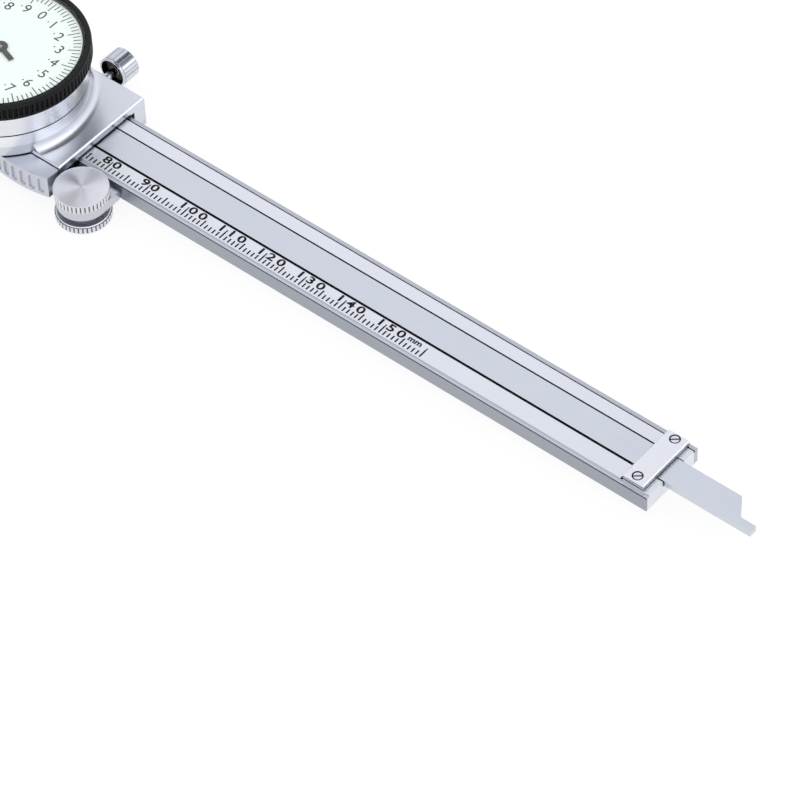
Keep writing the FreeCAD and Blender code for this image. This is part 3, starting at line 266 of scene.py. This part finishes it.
def clearAcrylic(name, look):
    material, tree, output = newMaterial(name)
    place = addNode(tree, "ShaderNodeTexCoord").outputs["Object"]
    pattern = {0: place, "Scale": 1 / (look["haze"] * mm), "Detail": 2}
    haze = addNode(tree, "ShaderNodeTexNoise", {}, pattern).outputs[0]
    ends = {"Value": haze, "To Min": look["sharpest"], "To Max": look["dullest"]}
    rough = addNode(tree, "ShaderNodeMapRange", {}, ends).outputs[0]
    surface = {
        "Base Color": linearColour(look["tint"]),
        "Roughness": rough,
        "Transmission Weight": 1.0,
        "IOR": look["ior"],
    }
    shader = addNode(tree, "ShaderNodeBsdfPrincipled", {}, surface)
    clear = addNode(tree, "ShaderNodeBsdfTransparent", {}, {0: linearColour(look["clear"])})
    rays = addNode(tree, "ShaderNodeLightPath").outputs
    straight = {0: rays["Is Shadow Ray"], 1: rays["Is Diffuse Ray"]}
    unbent = addNode(tree, "ShaderNodeMath", largerOf, straight).outputs[0]
    sides = {0: unbent, 1: shader.outputs[0], 2: clear.outputs[0]}
    mix = addNode(tree, "ShaderNodeMixShader", {}, sides)
    tree.links.new(mix.outputs[0], output.inputs[0])
    return material


# The looks below give sizes in mm, and zones in metres. Real hair lines, turning lines and grain are
# finer than their lineWidth and grain: they are drawn that coarse so that they show.
rodGrooveRun = (1 * mm, 212 * mm)
grooveEdgeRun = (5 * mm, 212 * mm)

# Satin chrome on the beam: pale and soft, with hair lines along it; its sides are toned greyer, the
# near one darker as painted shade, and the grooves and their edges hold painted shade.
beamLook = {
    "pale": "#EFF1F7",
    "shade": "#E3E6EE",
    "roughness": 0.4,
    "relief": 0.02,
    "lineWidth": 0.09,
    "softEdge": 0.1,
    "zones": [
        # the near side with the jaw, painted darker as painted shade, and the far ledge and side, toned
        # greyer
        {"z": belowFace(0.35, 9), "y": acrossBeam(-60, 0.3), "tone": "#A6AAB3"},
        {"z": belowFace(0.25, 9), "y": acrossBeam(14.5, 16), "tone": "#C2C6CF"},
        # painted shade on the rod groove's floor, and blacker painted shade on its walls beside the rod
        {"z": belowFace(0.1, 3), "y": acrossBeam(4.7, 11.6), "x": rodGrooveRun, "tone": "#7C7F86"},
        {"z": belowFace(0.1, 3), "y": acrossBeam(4.7, 5.1), "x": rodGrooveRun, "tone": "#141517"},
        {"z": belowFace(0.1, 3), "y": acrossBeam(11.2, 11.6), "x": rodGrooveRun, "tone": "#141517"},
        # painted shade in dark lines along the groove's two edges
        {"z": belowFace(-0.01, 0.1), "y": acrossBeam(4.66, 5), "x": grooveEdgeRun, "tone": "#1B1C1F"},
        {"z": belowFace(-0.01, 0.1), "y": acrossBeam(11.3, 11.52), "x": grooveEdgeRun, "tone": "#3A3C42"},
        # the near ledge, toned greyer, painted shade along its outer edge, and the painted shadow of the
        # step down to the far ledge
        {"z": belowFace(0.1, 0.5), "y": acrossBeam(0.12, 0.87), "tone": "#D2D5DD"},
        {"z": belowFace(0.1, 0.5), "y": acrossBeam(-0.05, 0.12), "tone": "#4E5158"},
        {"z": belowFace(0.1, 0.5), "y": acrossBeam(14.28, 14.76), "tone": "#141517"},
        # the shade in front of the stop plate
        {"z": belowFace(-0.05, 0.15), "x": (208 * mm, 208.5 * mm), "tone": "#17181B"},
    ],
}

# The stop plate has the beam's finish, with shade under it, between its layers and round its screws.
stopLow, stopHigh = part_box("end_plate")
stopLook = dict(
    beamLook,
    pale="#F4F5F9",
    shade="#ECEEF4",
    zones=[
        {"z": (stopLow.z, stopLow.z + 0.22 * mm), "tone": "#141518"},
        {"z": (stopLow.z + 0.5 * mm, stopLow.z + 0.68 * mm), "tone": "#3B3D42"},
    ],
)
for nodeName in ("end_screw_near", "end_screw_far"):
    screwAxis = (middleOf(nodeName), "z")
    # painted shade in the screw's hole and in a dark ring round its head
    screwHoleShade = {
        "about": screwAxis,
        "radius": (0, 1.0 * mm),
        "z": (stopLow.z, stopHigh.z - 0.04 * mm),
        "tone": "#0C0D0E",
    }
    headRingShade = {
        "about": screwAxis,
        "radius": (0.9 * mm, 1.12 * mm),
        "z": (stopHigh.z - 0.1 * mm, stopHigh.z + 0.01 * mm),
        "tone": "#1B1C1F",
    }
    stopLook["zones"] += [screwHoleShade, headRingShade]

# Ground steel on the depth rod: a shade greyer than the beam, with straight grinding lines.
rodLook = {
    "pale": "#D8DCE4",
    "shade": "#CDD2DB",
    "roughness": 0.3,
    "relief": 0.0,
    "lineWidth": 0.12,
    "softEdge": 0.08,
}

# Painted shade in a dark line between the case's tower and its ring.
ringSeatShade = {
    "about": (dialCentre, "z"),
    "radius": (15 * mm, 17.2 * mm),
    "z": belowFace(-7.6, -7.06),
    "tone": "#0A0A0B",
}

# Satin chrome on the case: a calm light grey, brushed along the beam.
caseLook = {
    "pale": "#DCDFE6",
    "shade": "#D3D6DE",
    "roughness": 0.3,
    "relief": 0.04,
    "lineWidth": 0.12,
    "softEdge": 0.12,
    "zones": [
        # the tower, painted brighter than the foot plate as painted light
        {
            "about": (dialCentre, "z"),
            "radius": (10 * mm, 17.6 * mm),
            "z": belowFace(-8, -4.3),
            "tone": "#F0F1F6",
        },
        ringSeatShade,
        # the foot plate's shaded lower edge at its right end
        {
            "z": belowFace(-0.42, -0.05),
            "x": (73.9 * mm, 74.2 * mm),
            "y": acrossBeam(0, 15.6),
            "tone": "#101113",
        },
    ],
}

# The slider's frame has the same finish, a little darker, with deep shade beside the thumb wheel.
frameLook = dict(
    caseLook,
    pale="#D0D3DB",
    shade="#C6C9D2",
    zones=[
        {
            "x": (70 * mm, 76.5 * mm),
            "y": acrossBeam(-5.6, 0.3),
            "z": belowFace(-0.2, 1.4),
            "tone": "#0D0E10",
        },
    ],
)

# Turned steel on the case ring: bright bands round it.
ringLook = {
    "centre": dialCentre,
    "pale": "#F0F1F6",
    "shade": "#DCDEE5",
    "roughness": 0.26,
    "anisotropy": 0.3,
    "relief": 0.1,
    "lineWidth": 0.2,
    "softEdge": 0.08,
    "zones": [ringSeatShade],
}

# Turned steel on the thumb wheel: facing lines open each light into fans, and the notches of the
# knurl and the axle between the discs hold painted shade.
wheelAxis = (wheelCentre, "z")
wheelLook = {
    "centre": wheelCentre,
    "pale": "#F6F7FB",
    "shade": "#DEE0E7",
    "roughness": 0.38,
    "anisotropy": 0.95,
    "relief": 0.25,
    "lineWidth": 0.12,
    "softEdge": 0.05,
    "zones": [
        # painted shade in the notches of the upper disc and of the lower one, and on the axle between them
        {"about": wheelAxis, "radius": (4.5 * mm, 5.5 * mm), "z": belowFace(-0.55, 1.1), "tone": "#73767E"},
        {"about": wheelAxis, "radius": (4.5 * mm, 5.66 * mm), "z": belowFace(5.2, 6.6), "tone": "#73767E"},
        {"about": wheelAxis, "radius": (0, 3.5 * mm), "z": belowFace(3.2, 4.95), "tone": "#9A9CA3"},
    ],
}

# Bright turned steel on the lock screw's knob, with painted shade in the recess in its face.
knobLook = {
    "pale": "#DADDE4",
    "shade": "#CDD0D8",
    "roughness": 0.22,
    "relief": 0.05,
    "grain": 0.6,
    "metallic": 1.0,
    "softEdge": 0.08,
    "zones": [
        {
            "about": (knobCentre, "y"),
            "radius": (0.95 * mm, 2.93 * mm),
            "y": (15.5 * mm, 16.85 * mm),
            "tone": "#18191B",
        },
    ],
}

# Small steel parts: darker, fine ground.
screwLook = {
    "pale": "#BCBFC7",
    "shade": "#9DA0A8",
    "roughness": 0.28,
    "relief": 0.05,
    "grain": 0.5,
    "metallic": 1.0,
    "softEdge": 0.06,
}

# The stop plate's screws are bright, with shade in their slots.
endScrewLook = dict(
    screwLook,
    pale="#E4E6EC",
    shade="#D6D9E0",
    zones=[{"z": (0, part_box("end_screw_near")[1].z - 0.05 * mm), "tone": "#0F1012"}],
)

# Turned brass of the movement: warm and satin.
brassLook = {
    "pale": "#C9A866",
    "shade": "#B08A45",
    "roughness": 0.3,
    "relief": 0.05,
    "grain": 0.4,
    "metallic": 1.0,
}

# Moulded ABS of the bezel: near black, with a faint grain that dulls its gloss, and painted blacker
# at the bottoms of its flutes as painted shade.
bezelLook = {
    "pale": "#1B1C1E",
    "shade": "#131415",
    "roughness": 0.34,
    "relief": 0.1,
    "grain": 0.35,
    "softEdge": 0.1,
    "specular": 0.16,
    "zones": [
        {
            "about": (dialCentre, "z"),
            "radius": (17 * mm, 17.8 * mm),
            "z": belowFace(-15.2, -12.9),
            "tone": "#040405",
        },
    ],
}

# Matt enamel of the dial: pale mint, evenly flat.
dialLook = {"pale": "#F5FDFA", "shade": "#EFFAF6", "roughness": 0.55, "relief": 0.02, "grain": 1.5}

# Black enamel of the pointer, and the ink of the printing: flat and dark.
pointerLook = {"pale": "#1C1C1F", "shade": "#131315", "roughness": 0.5, "relief": 0.05, "grain": 0.4}
inkLook = {
    "pale": "#0C0D0F",
    "shade": "#060708",
    "roughness": 0.6,
    "relief": 0.05,
    "grain": 0.3,
    "specular": 0.2,
}

wheelSteel = turnedMetal("turned_wheel_steel", wheelLook)
endScrewSteel = grainedFinish("bright_screw_steel", endScrewLook)
mouldedAbs = grainedFinish("moulded_black_abs", bezelLook)
blackInk = grainedFinish("black_ink", inkLook)

slotFinishes = {
    "beam_steel": brushedMetal("satin_chrome", beamLook),
    "case_steel": brushedMetal("case_satin_chrome", caseLook),
    "wheel_steel": wheelSteel,
    "small_steel": grainedFinish("screw_steel", screwLook),
    "brass_parts": grainedFinish("turned_brass", brassLook),
    "black_bezel": mouldedAbs,
    "dial_print": grainedFinish("mint_enamel", dialLook),
    "pointer_paint": grainedFinish("black_enamel", pointerLook),
    "clear_crystal": clearAcrylic("clear_acrylic", crystalLook),
}
nodeFinishes = {
    "depth_rod": brushedMetal("ground_steel", rodLook),
    "lock_screw": grainedFinish("turned_knob_steel", knobLook),
    "slider_frame": brushedMetal("frame_satin_chrome", frameLook),
    "case_ring": turnedMetal("turned_ring_steel", ringLook),
    "end_plate": brushedMetal("stop_satin_chrome", stopLook),
    "end_screw_near": endScrewSteel,
    "end_screw_far": endScrewSteel,
}
for entry in frame["record"]["subparts"]:
    finish = nodeFinishes.get(entry["node"], slotFinishes[entry["material_slot"]])
    for slot in nodes[entry["node"]].material_slots:
        slot.material = finish
print("finishes assigned")


def deselect():
    if bpy.context.object and bpy.context.object.mode != "OBJECT":
        bpy.ops.object.mode_set(mode="OBJECT")
    bpy.ops.object.select_all(action="DESELECT")


def joinPieces(pieces, name):
    deselect()
    for piece in pieces:
        piece.select_set(True)
    bpy.context.view_layer.objects.active = pieces[0]
    bpy.ops.object.join()
    joined = bpy.context.object
    joined.name = name
    return joined


def ridePiece(piece, body, material):
    piece.data.materials.clear()
    piece.data.materials.append(material)
    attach(piece, body)


weldWithin = 0.002  # mm


# A ring is made from a circle: it is extruded and scaled from point to point of its section, and
# the last row is merged with the first. The section's points are a radius and a height in mm above
# the beam's printed face.
def turnPiece(name, centre, section, segments):
    deselect()
    radius, height = section[0]
    start = (centre.x, centre.y, faceHeight + height * mm)
    bpy.ops.mesh.primitive_circle_add(vertices=segments, radius=radius * mm, location=start)
    piece = bpy.context.object
    piece.name = name
    bpy.ops.object.transform_apply(location=True, rotation=True, scale=True)
    bpy.ops.object.mode_set(mode="EDIT")
    bpy.ops.mesh.select_mode(type="VERT")
    bpy.ops.mesh.select_all(action="SELECT")
    for nextRadius, nextHeight in section[1:] + section[:1]:
        rise = (0, 0, (nextHeight - height) * mm)
        bpy.ops.mesh.extrude_region_move(TRANSFORM_OT_translate={"value": rise})
        share = nextRadius / radius
        middle = (centre.x, centre.y, faceHeight + nextHeight * mm)
        bpy.ops.transform.resize(value=(share, share, 1), center_override=middle)
        radius, height = nextRadius, nextHeight
    bpy.ops.mesh.select_all(action="SELECT")
    bpy.ops.mesh.remove_doubles(threshold=weldWithin * mm)
    bpy.ops.mesh.normals_make_consistent(inside=False)
    bpy.ops.mesh.select_mode(type="FACE")
    bpy.ops.mesh.select_all(action="DESELECT")
    bpy.ops.object.mode_set(mode="OBJECT")
    return piece


# The bezel in mm: radii, and heights above the beam's printed face.
bezelShape = {
    "flutes": 104,
    "columns": 4,  # faces round for each flute, one of them its bottom
    "tip": 18.06,
    "fluteDepth": 0.4,
    "fluteLow": 12.75,
    "fluteHigh": 15.35,
    "fluteEnd": 0.16,
    "fluteSlope": 0.05,
    "rim": 17.98,
    "low": 12.3,
    "top": 15.9,
    "bore": 16.76,
    "skirtOuter": 16.46,
    "skirtInner": 15.96,
    "skirtLow": 11.1,
    "faceSeat": 14.4,
    "softness": 0.12,
    "smoothUnder": 38,  # degrees
}


def makeBezel():
    spec = bezelShape
    soft = spec["softness"]
    top, low, rim, tip, bore = (spec[key] for key in ("top", "low", "rim", "tip", "bore"))
    section = [
        (bore, top - 2 * soft),  # the mouth's rounded edge
        (bore + soft, top - 0.5 * soft),
        (bore + 2.5 * soft, top),
        (rim - 2 * soft, top),  # the top's rounded outer edge
        (rim - 0.6 * soft, top - 0.5 * soft),
        (rim, top - 1.5 * soft),
        (rim, spec["fluteHigh"] + spec["fluteSlope"]),  # the band of flutes
        (tip, spec["fluteHigh"]),
        (tip, spec["fluteHigh"] - spec["fluteEnd"]),
        (tip, spec["fluteLow"] + spec["fluteEnd"]),
        (tip, spec["fluteLow"]),
        (rim, spec["fluteLow"] - spec["fluteSlope"]),
        (rim, low + soft),  # the lower edge and the underside
        (rim - soft, low),
        (spec["skirtOuter"], low),  # the skirt that turns in the case ring
        (spec["skirtOuter"], spec["skirtLow"]),
        (spec["skirtInner"], spec["skirtLow"]),
        (spec["skirtInner"], spec["faceSeat"]),  # the seat of the dial face
        (bore, spec["faceSeat"]),
    ]
    columns = spec["flutes"] * spec["columns"]
    piece = turnPiece("fluted_bezel", dialCentre, section, columns)
    middleHeight = faceHeight + (spec["fluteLow"] + spec["fluteHigh"]) / 2 * mm
    middle = Vector((dialCentre.x, dialCentre.y, middleHeight))
    bandHalf = (spec["fluteHigh"] - spec["fluteLow"]) / 2 - spec["fluteEnd"]
    for face in piece.data.polygons:
        offset = face.center - middle
        column = int(math.atan2(offset.y, offset.x) % (2 * math.pi) / (2 * math.pi) * columns)
        outside = math.hypot(offset.x, offset.y) > (tip - spec["fluteSlope"]) * mm
        inBand = abs(offset.z) < bandHalf * mm
        face.select = column % spec["columns"] == 0 and outside and inBand
    bpy.ops.object.mode_set(mode="EDIT")
    share = (tip - spec["fluteDepth"]) / tip
    bpy.ops.transform.resize(value=(share, share, 1), center_override=middle)
    bpy.ops.object.mode_set(mode="OBJECT")
    bpy.ops.object.shade_smooth_by_angle(angle=math.radians(spec["smoothUnder"]))
    ridePiece(piece, "bezel", mouldedAbs)
    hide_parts("bezel")


# The plain rim on the thumb wheel's top, in mm: radii, and heights above the printed face.
wheelRim = {
    "inner": 5.1,
    "outer": 5.6,
    "low": 0.56,
    "top": 0.82,
    "innerSlope": 0.1,
    "footBevel": 0.03,
    "softness": 0.06,
    "segments": 120,
    "smoothUnder": 30,  # degrees
}


def makeWheelRim():
    spec = wheelRim
    soft, bevel = spec["softness"], spec["footBevel"]
    inner, outer, low, top = (spec[key] for key in ("inner", "outer", "low", "top"))
    section = [
        (inner, low),
        (inner + spec["innerSlope"], top),
        (outer - 1.5 * soft, top),  # the rounded outer edge
        (outer - 0.4 * soft, top - 0.4 * soft),
        (outer, top - 1.5 * soft),
        (outer, low + bevel),
        (outer - bevel, low),
    ]
    piece = turnPiece("wheel_rim", wheelCentre, section, spec["segments"])
    bpy.ops.object.shade_smooth_by_angle(angle=math.radians(spec["smoothUnder"]))
    ridePiece(piece, "thumb_wheel", wheelSteel)


# The ink stands a little proud of the surface that it is printed on, with its foot sunk into it.
inkShape = {
    "thick": 0.02,  # mm
    "sunk": 0.004,  # mm
    "digitShare": 0.73,  # a digit's height in the built-in font, where the font's size is 1
    "curveSteps": 6,
}


def raiseInk():
    bpy.ops.object.mode_set(mode="EDIT")
    bpy.ops.mesh.select_all(action="SELECT")
    bpy.ops.mesh.extrude_region_move(TRANSFORM_OT_translate={"value": (0, 0, inkShape["thick"] * mm)})
    bpy.ops.mesh.select_all(action="SELECT")
    bpy.ops.mesh.normals_make_consistent(inside=False)
    bpy.ops.object.mode_set(mode="OBJECT")


def inkBar(x, y, z, width, length):
    deselect()
    bpy.ops.mesh.primitive_plane_add(size=1, location=(x, y, z))
    bar = bpy.context.object
    bar.scale = (width, length, 1)
    bpy.ops.object.transform_apply(location=True, rotation=True, scale=True)
    raiseInk()
    return bar


def inkText(words, x, y, z, height, stretch=1.0, bold=0.0):
    deselect()
    bpy.ops.object.text_add(location=(0, 0, 0))
    text = bpy.context.object
    text.data.body = words
    text.data.size = height / inkShape["digitShare"]
    text.data.align_x = "CENTER"
    text.data.offset = bold
    text.data.resolution_u = inkShape["curveSteps"]
    bpy.ops.object.convert(target="MESH")
    text = bpy.context.object
    corners = [vertex.co for vertex in text.data.vertices]
    centreX = (min(c.x for c in corners) + max(c.x for c in corners)) / 2
    centreY = (min(c.y for c in corners) + max(c.y for c in corners)) / 2
    text.data.transform(Matrix.Translation((-centreX, -centreY, 0)))
    text.scale = (stretch, 1, 1)
    text.location = (x, y, z)
    bpy.ops.object.transform_apply(location=True, rotation=True, scale=True)
    raiseInk()
    return text


def repeatAlong(bar, count, step):
    array = bar.modifiers.new("row", "ARRAY")
    array.count = count
    array.use_relative_offset = False
    array.use_constant_offset = True
    array.constant_offset_displace = (step, 0, 0)
    bpy.context.view_layer.objects.active = bar
    bpy.ops.object.modifier_apply(modifier="row")
    return bar


def repeatRound(bar, count, centre):
    deselect()
    bar.select_set(True)
    bpy.context.view_layer.objects.active = bar
    bpy.ops.object.mode_set(mode="EDIT")
    bpy.ops.mesh.select_all(action="SELECT")
    lastAngle = -2 * math.pi * (count - 1) / count
    bpy.ops.mesh.spin(steps=count - 1, dupli=True, angle=lastAngle, center=centre, axis=(0, 0, 1))
    bpy.ops.mesh.select_all(action="SELECT")
    bpy.ops.mesh.normals_make_consistent(inside=False)
    bpy.ops.object.mode_set(mode="OBJECT")
    return bar


# The beam's millimetre scale, in mm from its near edge. The long lines stand between the first two
# digits of their numbers.
beamPrint = {
    "firstLine": 10,
    "lastLine": 160,
    "lastNumber": 150,
    "lineWidth": 0.33,
    "thinWidth": 0.24,
    "lineStart": 1.22,
    "shortTop": 2.42,
    "fiveTop": 3.1,
    "tenTop": 3.8,
    "digitMiddle": 3.62,
    "digitHeight": 1.8,
    "digitStretch": 1.45,
    "digitGap": 2.48,
    "bold": 0.06,
    "unitPlace": 157,
    "unitShare": 0.72,  # the height of the mm, as a share of the digits'
    "unitStretch": 1.2,
}


def printBeam():
    spec = beamPrint
    face = faceHeight - inkShape["sunk"] * mm
    first = spec["firstLine"]
    millimetres = spec["lastLine"] - first

    def bars(bottom, top, width, every):
        low, high = acrossBeam(bottom, top)
        bar = inkBar(first * mm, (low + high) / 2, face, width * mm, high - low)
        return repeatAlong(bar, millimetres // every + 1, every * mm)

    pieces = [
        bars(spec["lineStart"], spec["shortTop"], spec["lineWidth"], 1),
        bars(spec["shortTop"], spec["fiveTop"], spec["lineWidth"], 5),
        bars(spec["fiveTop"], spec["tenTop"], spec["thinWidth"], 10),
    ]
    middleY = acrossBeam(spec["digitMiddle"], 0)[0]
    height, bold = spec["digitHeight"] * mm, spec["bold"] * mm
    for value in range(first, spec["lastNumber"] + 1, 10):
        for place, digit in enumerate(str(value)):
            x = value + spec["digitGap"] * (place - 0.5)
            pieces.append(inkText(digit, x * mm, middleY, face, height, spec["digitStretch"], bold))
    unitX, unitHeight = spec["unitPlace"] * mm, height * spec["unitShare"]
    pieces.append(inkText("mm", unitX, middleY, face, unitHeight, spec["unitStretch"], bold))
    scale = joinPieces(pieces, "beam_scale")
    ridePiece(scale, "beam", blackInk)


# The dial's lines and numbers, in mm from its centre. The numbers run twice from 0 to 9 tenths of a
# millimetre, and the second 0 is the whole millimetre's 1.
dialPrint = {
    "divisions": 100,
    "linesPerNumber": 5,
    "tenths": 10,
    "turn": 1.6,  # degrees
    "lineWidth": 0.2,
    "lineOuter": 15.9,
    "shortInner": 14.4,
    "longInner": 13.4,
    "labelRadius": 11.8,
    "labelHeight": 2.35,
    "dotGap": 1.4,
    "dotSize": 0.28,
}


def printDial():
    spec = dialPrint
    centre = Vector((dialCentre.x, dialCentre.y, 0))
    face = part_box("dial_face")[1].z - inkShape["sunk"] * mm
    turn = math.radians(spec["turn"])
    numbers = spec["divisions"] // spec["linesPerNumber"]

    def bars(inner, outer, count):
        middleY = centre.y + (inner + outer) / 2 * mm
        bar = inkBar(centre.x, middleY, face, spec["lineWidth"] * mm, (outer - inner) * mm)
        return repeatRound(bar, count, centre)

    rows = [
        bars(spec["shortInner"], spec["lineOuter"], spec["divisions"]),
        bars(spec["longInner"], spec["shortInner"], numbers),
    ]
    lines = joinPieces(rows, "dial_lines")
    rotation = Matrix.Rotation(-turn, 4, "Z")
    lines.data.transform(Matrix.Translation(centre) @ rotation @ Matrix.Translation(-centre))
    pieces = [lines]
    for step in range(numbers):
        angle = 2 * math.pi * step / numbers + turn
        x = centre.x + spec["labelRadius"] * mm * math.sin(angle)
        y = centre.y + spec["labelRadius"] * mm * math.cos(angle)
        digit = step % spec["tenths"]
        label = str(digit) if digit else str(step // spec["tenths"])
        pieces.append(inkText(label, x, y, face, spec["labelHeight"] * mm))
        if digit:
            side = spec["dotSize"] * mm
            pieces.append(inkBar(x - spec["dotGap"] * mm, y, face, side, side))
    marks = joinPieces(pieces, "dial_marks")
    ridePiece(marks, "bezel", blackInk)


makeBezel()
makeWheelRim()
print("turned pieces done")
printBeam()
printDial()
print("printing done")


# The photograph's camera: what it looks at and how far off it stands in mm, its angles in degrees.
cameraView = {
    "target": (164.1, -17.2, 3.8),
    "azimuth": 41.28,
    "elevation": 48.57,
    "roll": -2.33,
    "distance": 798.6,
    "focalPixels": 4279,
    "framePixels": 800,
    "sensorWidth": 36,
    "clipStart": 0.01,  # m
    "clipEnd": 50,  # m
}


def setCamera():
    spec = cameraView
    azimuth, elevation, roll = (math.radians(spec[key]) for key in ("azimuth", "elevation", "roll"))
    level = Vector((math.cos(azimuth), math.sin(azimuth), 0))
    away = Vector((math.sin(azimuth), -math.cos(azimuth), 0))
    back = away * math.cos(elevation) + Vector((0, 0, math.sin(elevation)))
    upright = back.cross(level)
    right = math.cos(roll) * level + math.sin(roll) * upright
    up = -math.sin(roll) * level + math.cos(roll) * upright
    camera = bpy.data.cameras.new("view_camera")
    camera.sensor_width = spec["sensorWidth"]
    camera.lens = spec["sensorWidth"] * spec["focalPixels"] / spec["framePixels"]
    camera.clip_start = spec["clipStart"]
    camera.clip_end = spec["clipEnd"]
    holder = bpy.data.objects.new("view_camera", camera)
    bpy.context.scene.collection.objects.link(holder)
    turn = Matrix((right, up, back)).transposed().to_4x4()
    place = Vector(spec["target"]) * mm + back * spec["distance"] * mm
    holder.matrix_world = Matrix.Translation(place) @ turn
    bpy.context.scene.camera = holder


# Each patch of the sky is centred on a direction. It starts and is full where the cosine of the
# angle from that direction has these values, and there the sky is this many times as bright.
studio = {
    "floorSize": 12,  # m
    "paper": "#F2F2F3",
    "paperSeen": "#6E6E6F",
    "paperGlow": 0.86,
    "skyDark": 0.91,
    "skyBright": 1.2,
    "skyHalfWidth": 0.38,
    "skyToward": (0.893, 0.225, 0.389),
    "patches": {
        "darkFlag": {"toward": (0.2, 0.5, 0.84), "start": 0.87, "full": 0.95, "brightness": 0.08},
        "lightPanel": {"toward": (0.72, 0.25, 0.65), "start": 0.88, "full": 0.96, "brightness": 1.5},
    },
    "skyTint": "#FAFBFF",
    "skyEven": 1.1,
}


# Pale paper that keeps the object's shadow. The camera, metal and glass see it as near white, and
# matt surfaces are lit by its own colour.
def setFloor():
    material, tree, output = newMaterial("studio_paper")
    rays = addNode(tree, "ShaderNodeLightPath").outputs
    seen = rays["Is Camera Ray"]
    for kind in ("Is Glossy Ray", "Is Transmission Ray"):
        seen = addNode(tree, "ShaderNodeMath", largerOf, {0: seen, 1: rays[kind]}).outputs[0]
    tones = {0: seen, 6: linearColour(studio["paper"]), 7: linearColour(studio["paperSeen"])}
    colour = addNode(tree, "ShaderNodeMix", colourMix, tones).outputs[2]
    paper = addNode(tree, "ShaderNodeBsdfDiffuse", {}, {0: colour})
    strength = addNode(tree, "ShaderNodeMath", multiply, {0: seen, 1: studio["paperGlow"]})
    glow = addNode(tree, "ShaderNodeEmission", {}, {0: (1, 1, 1, 1), 1: strength.outputs[0]})
    total = addNode(tree, "ShaderNodeAddShader", {}, {0: paper.outputs[0], 1: glow.outputs[0]})
    tree.links.new(total.outputs[0], output.inputs[0])
    deselect()
    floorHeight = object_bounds()[0].z
    bpy.ops.mesh.primitive_plane_add(size=studio["floorSize"], location=(0, 0, floorHeight))
    floor = bpy.context.object
    floor.name = "studio_floor"
    floor.data.materials.append(material)


# The sky is brighter beyond the beam's right end, with a dark flag high on the far side and a light
# panel on the right, as the reflections on the case and the wheel show. Matt surfaces get an even
# light.
def setSky():
    world = bpy.data.worlds.new("studio_sky")
    bpy.context.scene.world = world
    world.use_nodes = True
    tree = world.node_tree
    tree.nodes.clear()
    direction = addNode(tree, "ShaderNodeTexCoord").outputs["Generated"]
    towards = addNode(tree, "ShaderNodeVectorMath", dotProduct, {0: direction, 1: studio["skyToward"]})
    ends = {
        "Value": towards.outputs["Value"],
        "From Min": -studio["skyHalfWidth"],
        "From Max": studio["skyHalfWidth"],
        "To Min": studio["skyDark"],
        "To Max": studio["skyBright"],
    }
    strength = addNode(tree, "ShaderNodeMapRange", smoothStep, ends).outputs[0]
    for patch in studio["patches"].values():
        towards = addNode(tree, "ShaderNodeVectorMath", dotProduct, {0: direction, 1: patch["toward"]})
        ends = {
            "Value": towards.outputs["Value"],
            "From Min": patch["start"],
            "From Max": patch["full"],
            "To Min": 1.0,
            "To Max": patch["brightness"],
        }
        share = addNode(tree, "ShaderNodeMapRange", smoothStep, ends).outputs[0]
        strength = addNode(tree, "ShaderNodeMath", multiply, {0: strength, 1: share}).outputs[0]
    sky = addNode(tree, "ShaderNodeBackground", {}, {0: linearColour(studio["skyTint"]), 1: strength})
    even = addNode(tree, "ShaderNodeBackground", {}, {0: (1, 1, 1, 1), 1: studio["skyEven"]})
    glossyRay = addNode(tree, "ShaderNodeLightPath").outputs["Is Glossy Ray"]
    sides = {0: glossyRay, 1: even.outputs[0], 2: sky.outputs[0]}
    mix = addNode(tree, "ShaderNodeMixShader", {}, sides)
    output = addNode(tree, "ShaderNodeOutputWorld")
    tree.links.new(mix.outputs[0], output.inputs[0])
    world.cycles.sampling_method = "NONE"


setCamera()
setFloor()
setSky()
bpy.context.scene.view_settings.view_transform = "Standard"
print("studio ready")
